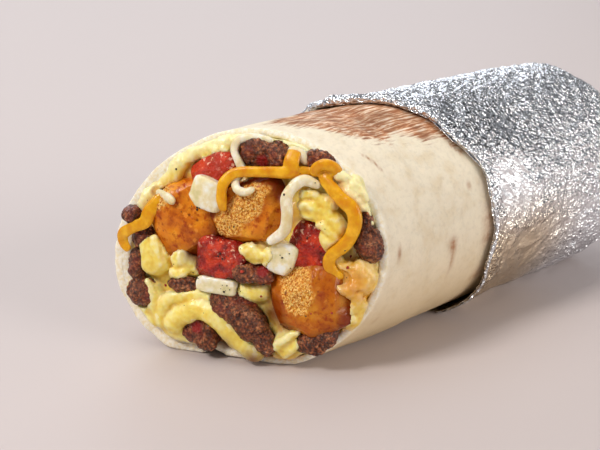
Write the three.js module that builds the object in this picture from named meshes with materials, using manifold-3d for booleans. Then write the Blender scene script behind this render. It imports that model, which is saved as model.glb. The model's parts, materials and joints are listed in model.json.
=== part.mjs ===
// A breakfast burrito lying on its side, in millimetres, +Z up. A flour tortilla is rolled one and a third
// turns round scrambled egg and cut open on a slant at its near end. Diced potato, tomato, onion, sausage
// crumbles and melted cheese shreds sit in the egg of the cut face. Crumpled foil wraps the rear of the roll
// and closes over its far end. The roll runs along X with the cut face at -X, and rests on the Z = 0 plane.
import * as THREE from 'three';
import { mergeVertices } from 'three/addons/utils/BufferGeometryUtils.js';
import Module from 'manifold-3d';

const wasm = await Module();
wasm.setup();

// Driving dimensions. Distances along the roll are measured backwards from the middle of the cut face.
const BODY_WIDTH = 58.6;
const BODY_HEIGHT = 55.2;
const AXIS_HEIGHT = 26;
const NARROWING = 0.036;
const FACE_X = -58.9;
const FACE_RISE = 1.5;
const CUT_SLANT = THREE.MathUtils.degToRad(27);
const CUT_LEAN = THREE.MathUtils.degToRad(8.5);
const SQUARED_AT = 40;
const RIM_PINCH = 0.6;
const PINCH_LENGTH = 8;
const FAR_BULGE = 2.2;
const FAR_BULGE_TOWARDS = THREE.MathUtils.degToRad(112);
const FAR_BULGE_SPREAD = THREE.MathUtils.degToRad(34);
const FAR_BULGE_LENGTH = 22;
const UNEVEN = 0.45;
const CLEARANCE = 0.3;
const FILLING_GAP = 0.5;
const WRAP_GAP = 0.45;
const EGG_DOME = 1.6;
const EGG_RECESS = 0.8;

// The tortilla sheet: its turns are counted in degrees from the outer edge, inwards round the roll.
const SHEET_THICKNESS = 1.6;
const SHEET_TURNS = 480;
const SHEET_STEP = 12;
const OUTER_EDGE = 166;
const TUCK = 24;
const TORTILLA_END = 128;
const TORTILLA_CLOSES = { start: 108, end: 131, tip: 0.05 };
const STATIONS = [0, 4, 10, 20, 33, 40, 46, 108, 115, 121, 125, TORTILLA_END];

// The foil: its front edge runs slantwise round the roll, and one corner reaches forward over the top.
const FOIL_THICKNESS = 1;
const FOIL_EDGE = 47;
const FOIL_EDGE_SLANT = 10;
const FOIL_EDGE_TOWARDS = THREE.MathUtils.degToRad(77);
const FOIL_CORNER = { towards: 14, spread: 14, reach: 7 };
const FOIL_CLOSES_FROM = 113;
const FOIL_END = 136;
const FOIL_SPOKES = 48;
const FOIL_CRUMPLE = 0.8;
const FOIL_PLEATS = 9;

// Where the foil's front edge flares off the roll: the middle and spread of each flare, in degrees.
const FLARES = [
  { towards: -130, spread: 20, height: 2.2 },
  { towards: 24, spread: 24, height: 0.7 },
];
const FLARE_LENGTH = 7;

const OVAL_RISE = BODY_HEIGHT - AXIS_HEIGHT;
const LAYER = SHEET_THICKNESS + CLEARANCE;
const SHEET_COUNT = SHEET_TURNS / SHEET_STEP;
const CORE_SPOKES = 30;

const radians = THREE.MathUtils.degToRad;
const smooth = THREE.MathUtils.smoothstep;

// A repeatable number from 0 to 1 for each whole number.
function draw(n) {
  const s = Math.sin(n * 12.9898 + 4.1414) * 43758.5453;
  return s - Math.floor(s);
}

// A smooth uneven field from about -1 to 1: five plane waves, whose pitch is about the given length.
function waves(point, seed, pitch) {
  let sum = 0;
  for (let i = 0; i < 5; i += 1) {
    const n = seed * 20 + i * 4;
    const turn = draw(n) * 2 * Math.PI;
    const rise = draw(n + 1) * 2 - 1;
    const flat = Math.sqrt(1 - rise * rise);
    const along = point[0] * flat * Math.cos(turn) + point[1] * flat * Math.sin(turn) + point[2] * rise;
    const speed = (2 * Math.PI / pitch) * (0.7 + 0.6 * draw(n + 2));
    sum += Math.sin(along * speed + draw(n + 3) * 2 * Math.PI);
  }
  return sum / 2.5;
}

// How much of its width the roll keeps as its far end rounds over, from 1 down to the tip's share.
function closing(t, { start, end, tip }) {
  const s = THREE.MathUtils.clamp((t - start) / (end - start), 0, 1);
  return tip + (1 - tip) * Math.sqrt(1 - s * s * s);
}

// The smaller turn from one angle to another.
function turnBetween(angle, other) {
  return Math.atan2(Math.sin(angle - other), Math.cos(angle - other));
}

// The roll's outer radius. The angle starts at the top and grows towards the far side (+Y). The section is
// an oval cut flat by the table, or by a plane lifted off it. Near the cut face it is pinched a little all
// round, and bulges on its far side.
function rollRadius(t, angle, proud, lift) {
  const kept = 1 - NARROWING * t / 100;
  const oval = 1 / Math.hypot(
    Math.sin(angle) / (kept * BODY_WIDTH / 2 + proud),
    Math.cos(angle) / (kept * OVAL_RISE + proud),
  );
  const pinch = RIM_PINCH * Math.exp(-((t / PINCH_LENGTH) ** 2)) * (0.55 + 0.45 * Math.cos(angle));
  const away = turnBetween(angle, FAR_BULGE_TOWARDS) / FAR_BULGE_SPREAD;
  const bulge = FAR_BULGE * Math.exp(-(away ** 2) - (t / FAR_BULGE_LENGTH) ** 2);
  const bumps = UNEVEN * (1 - smooth(t, 30, 42))
    * waves([t, 26 * Math.sin(angle), 26 * Math.cos(angle)], 3, 34);
  const table = Math.cos(angle) < 0 ? (AXIS_HEIGHT - lift) / -Math.cos(angle) : Infinity;
  return Math.min(oval - pinch + bulge + bumps, table);
}

// How far the slanted cut stands behind (+) or before (-) the middle of the face at a place on the section.
function cutOffset(y, z) {
  return -y * Math.tan(CUT_SLANT) + z * Math.tan(CUT_LEAN) / Math.cos(CUT_SLANT);
}

// A point at a radius on the section t behind the cut. Sections turn from the slant of the cut to square.
function rollPoint(t, angle, radius) {
  const y = radius * Math.sin(angle);
  const z = radius * Math.cos(angle);
  const slanted = 1 - smooth(t, 0, SQUARED_AT);
  return new THREE.Vector3(t + cutOffset(y, z) * slanted, y, AXIS_HEIGHT + z);
}

function foilEdge(angle) {
  const ragged = 0.9 * Math.sin(5 * angle + 1) + 0.6 * Math.sin(11 * angle);
  const away = turnBetween(angle, radians(FOIL_CORNER.towards)) / radians(FOIL_CORNER.spread);
  const corner = FOIL_CORNER.reach * Math.exp(-(away ** 2));
  return FOIL_EDGE - FOIL_EDGE_SLANT * Math.cos(angle - FOIL_EDGE_TOWARDS) - corner + ragged;
}

// The tortilla rises off the table towards the foil, which it lies on with its own thickness under it.
function tortillaLift(t) {
  return (FOIL_THICKNESS + WRAP_GAP) * smooth(t, 16, 41);
}

// Depth of the sheet's outer side below the roll's surface: it dives under its own outer edge.
function sheetDepth(turn) {
  return LAYER * smooth(turn, 360 - TUCK, 360);
}

// Closed skin over loops of points. Each loop joins the next, and both ends close on a tip.
function skinOf(loops, firstTip, lastTip) {
  const count = loops[0].length;
  const points = [...loops.flat(), firstTip, lastTip];
  const tips = [points.length - 2, points.length - 1];
  const faces = [];
  for (let i = 0; i < loops.length - 1; i += 1) {
    for (let j = 0; j < count; j += 1) {
      const k = (j + 1) % count;
      const [a, b, c, d] = [i * count + j, i * count + k, (i + 1) * count + k, (i + 1) * count + j];
      faces.push(a, b, c, a, c, d);
    }
  }
  const last = (loops.length - 1) * count;
  for (let j = 0; j < count; j += 1) {
    const k = (j + 1) % count;
    faces.push(tips[0], k, j, tips[1], last + j, last + k);
  }
  return solidOf(points, faces);
}

// A solid from points and triangles, turned face out.
function solidOf(points, faces) {
  const geometry = new THREE.BufferGeometry().setFromPoints(points).setIndex(faces);
  return solidFrom(geometry);
}

function solidFrom(geometry) {
  geometry.deleteAttribute('normal');
  geometry.deleteAttribute('uv');
  const merged = mergeVertices(geometry, 1e-4);
  const triVerts = new Uint32Array(merged.index.array);
  const vertProperties = merged.attributes.position.array;
  const made = new wasm.Manifold(new wasm.Mesh({ numProp: 3, vertProperties, triVerts }));
  if (made.volume() > 0) return made;
  const turned = triVerts.slice().reverse();
  return new wasm.Manifold(new wasm.Mesh({ numProp: 3, vertProperties, triVerts: turned }));
}

function geometryFrom(solid) {
  const { vertProperties, triVerts } = solid.getMesh();
  const geometry = new THREE.BufferGeometry();
  geometry.setAttribute('position', new THREE.BufferAttribute(vertProperties, 3));
  geometry.setIndex(new THREE.BufferAttribute(triVerts, 1));
  const flat = geometry.toNonIndexed();
  flat.computeVertexNormals();
  return flat;
}

// The largest piece of a solid: loose scraps that a cut leaves are dropped.
function largest(solid) {
  return solid.decompose().reduce((a, b) => (a.volume() > b.volume() ? a : b));
}

// The tortilla: one sheet, whose section is a strip wound from its outer edge inwards.
function tortillaSolid() {
  const points = [];
  for (const t of STATIONS) {
    const kept = closing(t, TORTILLA_CLOSES);
    for (const depth of [0, SHEET_THICKNESS]) {
      for (let i = 0; i <= SHEET_COUNT; i += 1) {
        const turn = i * SHEET_STEP;
        const angle = radians(OUTER_EDGE - turn);
        const radius = rollRadius(t, angle, 0, tortillaLift(t)) * kept - sheetDepth(turn) - depth;
        points.push(rollPoint(t, angle, radius));
      }
    }
  }
  const side = SHEET_COUNT + 1;
  const ring = 2 * side;
  const outline = (j) => (j < side ? j : ring - 1 - (j - side));
  const faces = [];
  for (let i = 0; i < STATIONS.length - 1; i += 1) {
    for (let j = 0; j < ring; j += 1) {
      const [a, b] = [i * ring + outline(j), i * ring + outline((j + 1) % ring)];
      faces.push(a, b, b + ring, a, b + ring, a + ring);
    }
  }
  const last = (STATIONS.length - 1) * ring;
  for (let j = 0; j < SHEET_COUNT; j += 1) {
    faces.push(j, j + side, j + 1, j + 1, j + side, j + side + 1);
    faces.push(last + j, last + j + 1, last + j + side);
    faces.push(last + j + 1, last + j + side + 1, last + j + side);
  }
  return solidOf(points, faces);
}

// The radius left for the filling inside the sheet's inner turn, with its clearance.
function fillingRadius(t, angle) {
  const degrees = THREE.MathUtils.euclideanModulo(THREE.MathUtils.radToDeg(angle), 360);
  const innerEdge = OUTER_EDGE + 360 - SHEET_TURNS;
  const doubled = smooth(degrees, innerEdge - 2 * SHEET_STEP, innerEdge - SHEET_STEP)
    * (1 - smooth(degrees, OUTER_EDGE, OUTER_EDGE + TUCK));
  const kept = closing(t, TORTILLA_CLOSES);
  const wall = SHEET_THICKNESS + LAYER * doubled + FILLING_GAP;
  return rollRadius(t, angle, 0, tortillaLift(t)) * kept - wall;
}

// The angles of the filling's mesh lines, which stand on those of the sheet.
const CORE_ANGLES = Array.from(
  { length: CORE_SPOKES },
  (_, j) => radians(OUTER_EDGE + j * 360 / CORE_SPOKES),
);

// The bed of egg that fills the roll: a gently domed front, and sides that follow the sheet.
function eggBed() {
  const front = [0.3, 0.65, 0.93].map((share) => CORE_ANGLES.map((angle) => {
    const point = rollPoint(0, angle, fillingRadius(0, angle) * share);
    point.x += EGG_RECESS - EGG_DOME * (1 - share * share);
    return point;
  }));
  const behind = STATIONS.slice(0, -2).map((t) => CORE_ANGLES.map((angle) => {
    const point = rollPoint(t, angle, fillingRadius(t, angle));
    if (t === 0) point.x += 2 * EGG_RECESS;
    return point;
  }));
  const firstTip = new THREE.Vector3(EGG_RECESS - EGG_DOME, 0, AXIS_HEIGHT);
  const lastTip = new THREE.Vector3(TORTILLA_END - 6, 0, AXIS_HEIGHT);
  return skinOf([...front, ...behind], firstTip, lastTip);
}

// A ring over the cut edge of the sheet, where no piece of the filling may be, and the table under it.
function keepOut() {
  const ring = (t, radius) => CORE_ANGLES.map((angle) => rollPoint(t, angle, radius(angle)));
  const inner = (t) => ring(t, (angle) => fillingRadius(Math.max(t, 0), angle));
  const outer = (t) => ring(t, () => BODY_WIDTH);
  const inside = STATIONS.filter((t) => t > 0 && t < SQUARED_AT);
  const before = -FILLING_GAP;
  const loops = [outer(before), inner(before), ...inside.map(inner), outer(inside.at(-1))];
  const count = CORE_SPOKES;
  const faces = [];
  loops.forEach((_, i) => {
    const next = (i + 1) % loops.length;
    for (let j = 0; j < count; j += 1) {
      const k = (j + 1) % count;
      faces.push(i * count + j, i * count + k, next * count + k);
      faces.push(i * count + j, next * count + k, next * count + j);
    }
  });
  const table = new THREE.BoxGeometry(4 * BODY_WIDTH, 4 * BODY_WIDTH, BODY_WIDTH);
  table.translate(0, 0, CLEARANCE - BODY_WIDTH / 2);
  return solidOf(loops.flat(), faces).add(solidFrom(table));
}

// Foil stands proud of the roll: a rolled front edge, loose flares at the lower near side and at the top,
// and a crumple that only ever adds to its thickness.
function foilProud(t, angle) {
  const behind = (t - foilEdge(angle)) / FLARE_LENGTH;
  return FLARES.reduce((sum, { towards, spread, height }) => {
    const away = turnBetween(angle, radians(towards)) / radians(spread);
    return sum + height * Math.exp(-(away ** 2) - behind ** 2);
  }, 0);
}

function foilCrumple(t, angle) {
  const place = [t, BODY_WIDTH / 2 * Math.sin(angle), BODY_WIDTH / 2 * Math.cos(angle)];
  const coarse = 1 - Math.abs(waves(place, 5, 26));
  const fine = 1 - Math.abs(waves(place, 6, 11));
  const rolledEdge = 0.6 * Math.exp(-(((t - foilEdge(angle)) / 2.4) ** 2));
  return rolledEdge + FOIL_CRUMPLE * Math.max(0, 0.55 * coarse + 0.45 * fine);
}

// The foil wrap: a thin cup, whose inside follows the roll and whose far end gathers into pleats.
function foilSolid() {
  const angles = Array.from({ length: FOIL_SPOKES }, (_, j) => 2 * Math.PI * j / FOIL_SPOKES);
  const loop = (share, end, thickness) => angles.map((angle) => {
    const edge = foilEdge(angle);
    const t = edge + (end - edge) * share;
    const kept = closing(t, { start: FOIL_CLOSES_FROM, end, tip: 0 });
    const crumple = thickness > 0 ? foilCrumple(t, angle) : 0;
    const proud = WRAP_GAP + foilProud(t, angle) + thickness + crumple;
    const lift = thickness > 0 ? 0 : FOIL_THICKNESS;
    const pleat = 1 + 0.1 * Math.sin(FOIL_PLEATS * angle) * (1 - kept) * kept * 4 * Math.sign(thickness);
    return rollPoint(t, angle, rollRadius(t, angle, proud, lift) * kept * pleat);
  });
  const insideEnd = FOIL_END - FOIL_THICKNESS - 2;
  const inner = [0.98, 0.9, 0.78, 0.1, 0].map((share) => loop(share, insideEnd, 0));
  const shares = [0, 0.03, 0.09, 0.17, 0.26, 0.36, 0.47, 0.58, 0.69, 0.79, 0.88, 0.95, 0.985];
  const outer = shares.map((share) => loop(share, FOIL_END, FOIL_THICKNESS));
  const innerTip = new THREE.Vector3(insideEnd, 0, AXIS_HEIGHT);
  const outerTip = new THREE.Vector3(FOIL_END - 0.6, 0, AXIS_HEIGHT);
  return skinOf([...inner, ...outer], innerTip, outerTip);
}

// The filling is placed in the cut face's own frame: X to the near side, Y up the face, Z out of it.
const faceX = new THREE.Vector3(Math.sin(CUT_SLANT), -Math.cos(CUT_SLANT), 0);
const faceY = new THREE.Vector3(
  Math.cos(CUT_SLANT) * Math.sin(CUT_LEAN),
  Math.sin(CUT_SLANT) * Math.sin(CUT_LEAN),
  Math.cos(CUT_LEAN),
);
const faceZ = new THREE.Vector3().crossVectors(faceX, faceY);
const faceTurn = new THREE.Matrix4().makeBasis(faceX, faceY, faceZ);
const faceFrame = faceTurn.clone().setPosition(0, 0, AXIS_HEIGHT + FACE_RISE);

// A solid of the roll, seen from the face's frame.
function intoFace(solid) {
  return solid.transform(faceFrame.clone().invert().elements);
}

// A lump: a box puffed out to a rounded block. squareness 2 is an ellipsoid and 6 a diced block, and rough
// is the share by which its surface goes in and out. grow adds to it all round.
function lump({ at, size, turn = 0, squareness = 2.2, rough = 0.1, seed = 1, cuts = 4 }, grow = 0) {
  const geometry = new THREE.BoxGeometry(2, 2, 2, cuts, cuts, cuts);
  const place = geometry.attributes.position;
  const point = new THREE.Vector3();
  for (let i = 0; i < place.count; i += 1) {
    point.fromBufferAttribute(place, i);
    const dir = point.toArray().map((c) => Math.tan(c * Math.PI / 4));
    point.fromArray(dir).normalize();
    const unit = point.toArray();
    const power = unit.reduce((sum, c) => sum + Math.abs(c) ** squareness, 0);
    point.multiplyScalar(power ** (-1 / squareness) * (1 + rough * waves(unit, seed, 1.6)));
    point.set(...size.map((s, k) => point.getComponent(k) * (s / 2 + grow)));
    place.setXYZ(i, ...point.toArray());
  }
  geometry.rotateZ(radians(turn));
  geometry.translate(...at);
  return solidFrom(geometry);
}

// A strand or fold that follows a path on the face, with an oval section and rounded ends.
function strand({ path, width, thick, sides = 6, step = 2.8 }, grow = 0) {
  const curve = new THREE.CatmullRomCurve3(path.map((p) => new THREE.Vector3(...p)));
  const count = Math.max(4, Math.ceil(curve.getLength() / step));
  const outwards = new THREE.Vector3(0, 0, 1);
  const loops = [];
  for (let i = 0; i <= count; i += 1) {
    const share = i / count;
    const middle = curve.getPointAt(share);
    const along = curve.getTangentAt(share);
    const across = new THREE.Vector3().crossVectors(along, outwards).normalize();
    const lift = new THREE.Vector3().crossVectors(across, along);
    const full = Math.sqrt(Math.max(0.3, 1 - Math.abs(2 * share - 1) ** 6));
    loops.push(Array.from({ length: sides }, (_, j) => {
      const turn = 2 * Math.PI * j / sides;
      return middle.clone()
        .addScaledVector(across, Math.cos(turn) * (width / 2 * full + grow))
        .addScaledVector(lift, Math.sin(turn) * (thick / 2 * full + grow));
    }));
  }
  const reach = thick * 0.25 + grow;
  const firstTip = curve.getPointAt(0).addScaledVector(curve.getTangentAt(0), -reach);
  const lastTip = curve.getPointAt(1).addScaledVector(curve.getTangentAt(1), reach);
  return skinOf(loops, firstTip, lastTip);
}

// What makes up a piece: lumps grown together, or one strand.
function pieceSolid(piece, grow = 0) {
  if (piece.path) return strand(piece, grow);
  const lobes = piece.lobes ?? [{}];
  return lobes
    .map((lobe, i) => lump({ ...piece, ...lobe, seed: piece.seed + i }, grow))
    .reduce((a, b) => a.add(b));
}

const CHEDDAR = { width: 3, thick: 2.6 };
const WHITE_CHEESE = { width: 2.8, thick: 2.5 };
const ONION = { squareness: 6, rough: 0.05, cuts: 2 };
const TOMATO = { squareness: 4.5, rough: 0.07, cuts: 3 };
const SAUSAGE = { squareness: 2.3, rough: 0.13, cuts: 2 };
const POTATO = { squareness: 3.4, rough: 0.06, cuts: 4 };

// The pieces, in the order in which they lie on each other, the topmost first. All sizes are whole sizes.
const PIECES = [
  { name: 'white_cheese_s_strand', ...WHITE_CHEESE, path: [
    [17.6, 16.4, 4.2], [13.6, 17.4, 5.4], [10.6, 13.8, 6.6], [10.9, 9.4, 6.8], [10.4, 5.8, 6.4], [6.4, 2.2, 5.6],
  ] },
  { name: 'cheddar_arch_strand', ...CHEDDAR, path: [
    [-4.4, 8.4, 6.4], [-5, 11.6, 6.8], [-4.8, 14.8, 6.6], [-2.6, 17.4, 6], [4, 18.4, 5.4], [10, 18.7, 4.2],
    [13.6, 19, 3],
  ] },
  { name: 'cheddar_long_strand', ...CHEDDAR, width: 3.4, path: [
    [17.6, 20.2, 3], [18.6, 15.9, 4.2], [21.8, 13.5, 5], [24.9, 11.6, 5], [26, 8.2, 5], [25.1, 3.9, 4.8],
    [22.4, 0.9, 4.4], [21, -1.6, 4], [23.4, -4.2, 3.4], [26, -5, 2.6],
  ] },
  { name: 'white_cheese_hook_strand', ...WHITE_CHEESE, width: 2, thick: 1.9, path: [
    [5.5, 24.4, 2.2], [0.6, 24.8, 2.4], [-2.9, 23.2, 2.8], [-3.6, 20.4, 3.2], [-2.2, 17.6, 3],
    [-2.6, 14.8, 5.2], [-0.9, 13.1, 6.4], [1.4, 13.4, 6.2],
  ] },
  { name: 'cheddar_left_strand', ...CHEDDAR, width: 2.4, thick: 2.2, path: [
    [-21.2, 9, 3.4], [-23.6, 5.9, 4], [-24.6, 3.4, 4], [-27.3, 1.9, 4], [-30.4, -0.4, 3.2], [-30.3, -2.6, 2.6],
    [-28.6, -4.2, 3],
  ] },
  { name: 'white_cheese_top_strand', ...WHITE_CHEESE, path: [
    [8.6, 23.6, 2], [12.2, 22.6, 2.2], [13.8, 20.6, 1.8],
  ] },
  { name: 'white_cheese_rim_strand', ...WHITE_CHEESE, width: 2.2, thick: 2, path: [
    [-22.8, 10.6, 2.2], [-20, 10.1, 3.4], [-17, 9, 5.6],
  ] },
  { name: 'onion_upper', ...ONION, seed: 31, at: [-9, 11.8, 5], size: [8.6, 6.8, 3.2], turn: -35 },
  { name: 'onion_middle', ...ONION, seed: 32, at: [9.6, -1.2, 3], size: [6.6, 7.6, 4.4], turn: -14 },
  { name: 'onion_bar', ...ONION, seed: 33, at: [-5.9, -9.6, 3.8], size: [9.8, 3.8, 3.2], turn: -3 },
  { name: 'tomato_upper', ...TOMATO, seed: 21, at: [-8.6, 16.6, 0.8], size: [12.4, 8, 6.4], turn: 26 },
  { name: 'tomato_left', ...TOMATO, seed: 22, at: [-5.4, -3.2, 1.6], size: [12.4, 10, 7.6], turn: -6 },
  { name: 'tomato_right', ...TOMATO, seed: 23, at: [16, 1.6, 0.8], size: [10.4, 11.6, 7], turn: -16 },
  { name: 'sausage_top', ...SAUSAGE, seed: 41, lobes: [
    { at: [1.2, 22.1, 0.8], size: [8.8, 8, 7], cuts: 3 }, { at: [6, 21.7, 0.6], size: [8, 7.6, 7] },
  ] },
  { name: 'sausage_top_right', ...SAUSAGE, seed: 43, at: [17, 20, 0.2], size: [8.4, 6.2, 6], turn: -35 },
  { name: 'sausage_right', ...SAUSAGE, seed: 44, lobes: [
    { at: [29, 4, 1], size: [7.2, 8.4, 6.6], cuts: 3 }, { at: [27.8, 9.4, 0.8], size: [4, 7, 4.4] },
  ] },
  { name: 'sausage_middle', ...SAUSAGE, seed: 46, lobes: [
    { at: [0.4, -5.8, 3.4], size: [6.8, 5.8, 5] }, { at: [4.8, -6, 3.2], size: [6.6, 5.2, 5] },
  ] },
  { name: 'sausage_left_bar', ...SAUSAGE, seed: 48, at: [-14.6, -10.6, 3], size: [8.8, 4.4, 4.2], turn: 8 },
  { name: 'sausage_diagonal', ...SAUSAGE, seed: 50, lobes: [
    { at: [-3.4, -14.2, 2.6], size: [9.6, 7.6, 6.6], turn: -20 }, { at: [1, -17.6, 3], size: [9, 8.6, 7], cuts: 3 },
    { at: [4.8, -21.6, 2.4], size: [7.4, 6.8, 6] },
  ] },
  { name: 'sausage_lower_left', ...SAUSAGE, seed: 54, at: [-9.6, -22, 1], size: [10, 7.6, 6], turn: -30 },
  { name: 'sausage_left_rim', ...SAUSAGE, seed: 55, lobes: [
    { at: [-26.9, -7, 1.6], size: [4.8, 8.4, 5] }, { at: [-25.4, -14, 1.6], size: [7.4, 8, 6] },
  ] },
  { name: 'sausage_left_crumb', ...SAUSAGE, seed: 58, at: [-28.4, 4.4, 2.2], size: [5.6, 5, 5] },
  { name: 'sausage_left_flat', ...SAUSAGE, seed: 59, at: [-26.2, -0.6, 1], size: [6.6, 5.4, 4], turn: 42 },
  { name: 'sausage_lower_right', ...SAUSAGE, seed: 60, lobes: [
    { at: [20.8, -16.8, 1.8], size: [7.4, 8.8, 6] }, { at: [17, -20.6, 1.8], size: [8, 6.6, 5.4] },
  ] },
  { name: 'potato_middle', ...POTATO, seed: 12, at: [1, 8.4, -1.8], size: [19.4, 14.6, 15], turn: 26 },
  { name: 'potato_left', ...POTATO, seed: 11, at: [-15.2, 4.4, -2.8], size: [18.4, 20, 15], turn: 14 },
  { name: 'potato_right', ...POTATO, seed: 13, at: [17.2, -10.6, -1.8], size: [20.4, 18, 15.6], turn: 24 },
];

// The folds and curds of the scrambled egg that show, fused to the bed.
const CURDS = [
  { width: 6.4, thick: 5, path: [
    [-20, -20.4, 0], [-17, -18, 1.2], [-13.4, -15.6, 2], [-9.4, -14.8, 2.2], [-4.8, -17.4, 2], [0, -21, 1.4],
    [4.4, -24, 0.8],
  ] },
  { width: 4.6, thick: 4, path: [[-20, -17, 0.6], [-18.2, -14, 1.6], [-14.4, -12.6, 2], [-8, -12.2, 1.6]] },
  { width: 7, thick: 6.4, path: [[-23.4, 0, 0], [-22.2, -5, 1], [-20.4, -10.2, 1]] },
  { width: 6.6, thick: 5, path: [[-17, -8, 1], [-14, -6.4, 1.6], [-12.4, -4, 1]] },
  { width: 4.4, thick: 4.6, path: [[-1, -1.4, 2.6], [2.6, -1, 3], [6, -1.6, 2.6]] },
  { width: 5, thick: 5, path: [[-1.6, -10.6, 1], [3, -10.6, 1.4], [7, -9.6, 1]] },
  { width: 6.4, thick: 5, path: [[9, -24, 0.6], [11.6, -21.6, 1.8], [15.2, -18.6, 1.4]] },
  { width: 7.4, thick: 5, path: [[22, 17.4, 0.6], [24.6, 14.6, 1.8], [27, 11, 1]] },
  { width: 3.8, thick: 4.6, path: [[12.4, 13.2, 2], [17, 12.8, 2.8], [22, 12.4, 2.4]] },
  { width: 3.8, thick: 4.6, path: [[12.4, 9.6, 2], [17, 9.8, 3], [21.4, 8.4, 3], [23, 5.2, 2]] },
  { width: 5.4, thick: 5.6, path: [[19, 6.6, 1.4], [20.8, 4.4, 2.6], [22.4, 1.8, 1.4]] },
  { width: 8.6, thick: 6, path: [[24.4, -1.4, 0.4], [27, -4.4, 1], [27.4, -8, 0.4]] },
  { width: 5, thick: 5, path: [[28, -8, 0], [26.6, -12, 0.6], [24.4, -16.4, 0]] },
  { width: 4, thick: 4.4, path: [[-10.4, 20.4, -0.4], [-4.4, 22.8, 0], [3.4, 23.4, 0], [11, 22, 0], [17.4, 18.8, -0.6]] },
  { width: 5, thick: 5, path: [[-22.4, 12.4, 0], [-24.4, 8, 0.6], [-25.6, 4.4, 0]] },
  { width: 6, thick: 5, path: [[-23.4, -11, 0.4], [-21.4, -15.6, 0.4], [-17.4, -20, 0]] },
];

// The pieces are cut back from those that lie on them, and from the sheet's edge and the table.
function fillingSolids() {
  const solids = new Map();
  const guard = intoFace(keepOut());
  let above = guard;
  for (const piece of PIECES) {
    solids.set(piece.name, largest(pieceSolid(piece).subtract(above)));
    above = above.add(pieceSolid(piece, CLEARANCE));
  }
  const curds = CURDS.map((curd) => strand({ ...curd, step: 4, sides: 5 }).subtract(guard));
  const egg = curds.reduce((a, b) => a.add(b), intoFace(eggBed()));
  const beds = PIECES.map((piece) => pieceSolid(piece, CLEARANCE)).reduce((a, b) => a.add(b));
  solids.set('scrambled_egg', largest(egg.subtract(beds)));
  return solids;
}

const finish = (color, roughness, metalness = 0) => new THREE.MeshStandardMaterial({
  color,
  roughness,
  metalness,
  flatShading: true,
});

const MATERIALS = {
  tortilla: finish('#e6d6b4', 0.85),
  foil: finish('#c9ccd2', 0.28, 1),
  scrambled: finish('#ecd264', 0.45),
  potato: finish('#cf6f1e', 0.4),
  tomato: finish('#c0251a', 0.25),
  onion: finish('#e9e6c8', 0.35),
  sausage: finish('#6b3b2a', 0.5),
  cheddar: finish('#eb9a1a', 0.35),
  white: finish('#f1e9cf', 0.4),
};

function namedMesh(name, solid) {
  const mesh = new THREE.Mesh(geometryFrom(solid), MATERIALS[name.split('_')[0]]);
  mesh.name = name;
  return mesh;
}

const filling = new THREE.Group();
filling.setRotationFromMatrix(faceTurn);
filling.position.set(0, 0, AXIS_HEIGHT + FACE_RISE);
fillingSolids().forEach((solid, name) => filling.add(namedMesh(name, solid)));

const burrito = new THREE.Group();
burrito.position.x = FACE_X;
burrito.add(namedMesh('tortilla_sheet', tortillaSolid()));
burrito.add(namedMesh('foil_wrap', foilSolid()));
burrito.add(filling);

const part = new THREE.Group();
part.add(burrito);

export default part;
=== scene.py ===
"""A cut breakfast burrito in foil, dressed round its fixed frame. Lengths are worked out in millimetres."""
import json
import math

import bpy
import numpy as np
from bpy.props import FloatProperty, FloatVectorProperty, IntProperty, PointerProperty
from mathutils import Matrix, Vector
from mathutils.bvhtree import BVHTree

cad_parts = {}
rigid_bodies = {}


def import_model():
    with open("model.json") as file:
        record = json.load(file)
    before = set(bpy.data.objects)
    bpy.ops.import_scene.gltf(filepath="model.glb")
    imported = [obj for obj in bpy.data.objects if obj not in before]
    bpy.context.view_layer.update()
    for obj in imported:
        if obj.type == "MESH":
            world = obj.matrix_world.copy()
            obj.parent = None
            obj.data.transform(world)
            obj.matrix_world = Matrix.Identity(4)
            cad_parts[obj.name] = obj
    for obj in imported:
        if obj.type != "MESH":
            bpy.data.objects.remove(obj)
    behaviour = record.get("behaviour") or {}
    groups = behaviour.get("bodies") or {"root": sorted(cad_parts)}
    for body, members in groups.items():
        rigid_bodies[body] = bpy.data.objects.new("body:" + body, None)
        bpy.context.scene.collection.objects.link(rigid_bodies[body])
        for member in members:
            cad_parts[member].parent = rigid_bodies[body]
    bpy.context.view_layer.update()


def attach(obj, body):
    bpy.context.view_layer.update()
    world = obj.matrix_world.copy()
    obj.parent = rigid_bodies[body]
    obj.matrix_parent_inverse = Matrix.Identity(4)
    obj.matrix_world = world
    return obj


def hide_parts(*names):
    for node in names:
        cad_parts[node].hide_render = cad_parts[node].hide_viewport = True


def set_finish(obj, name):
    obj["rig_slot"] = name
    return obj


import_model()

bl_info = {
    "name": "Breakfast Burrito",
    "version": (1, 0, 0),
    "blender": (4, 5, 0),
    "location": "View3D > Sidebar > Burrito",
    "description": "Builds a cut breakfast burrito in foil from numpy surfaces",
    "category": "Add Mesh",
}

MM = 0.001

# Driving sizes, the same as the frame's. Distances along the roll count back from the middle of the cut.
BODY_WIDTH = 58.6
BODY_HEIGHT = 55.2
AXIS_HEIGHT = 26.0
NARROWING = 0.036
FACE_X = -58.9
FACE_RISE = 1.5
CUT_SLANT = math.radians(27)
CUT_LEAN = math.radians(8.5)
SQUARED_AT = 40.0
RIM_PINCH = 0.6
PINCH_LENGTH = 8.0
FAR_BULGE = 2.2
FAR_BULGE_TOWARDS = math.radians(112)
FAR_BULGE_SPREAD = math.radians(34)
FAR_BULGE_LENGTH = 22.0
UNEVEN = 0.45
CLEARANCE = 0.3
FILLING_GAP = 0.5
WRAP_GAP = 0.45
SHEET_THICKNESS = 1.6
SHEET_TURNS = 480.0
OUTER_EDGE = 166.0
TUCK = 24.0
DIVE = 12.0
TORTILLA_END = 128.0
LAYER = SHEET_THICKNESS + CLEARANCE
FOIL_THICKNESS = 1.0
FOIL_EDGE = 47.0
FOIL_EDGE_SLANT = 10.0
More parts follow.
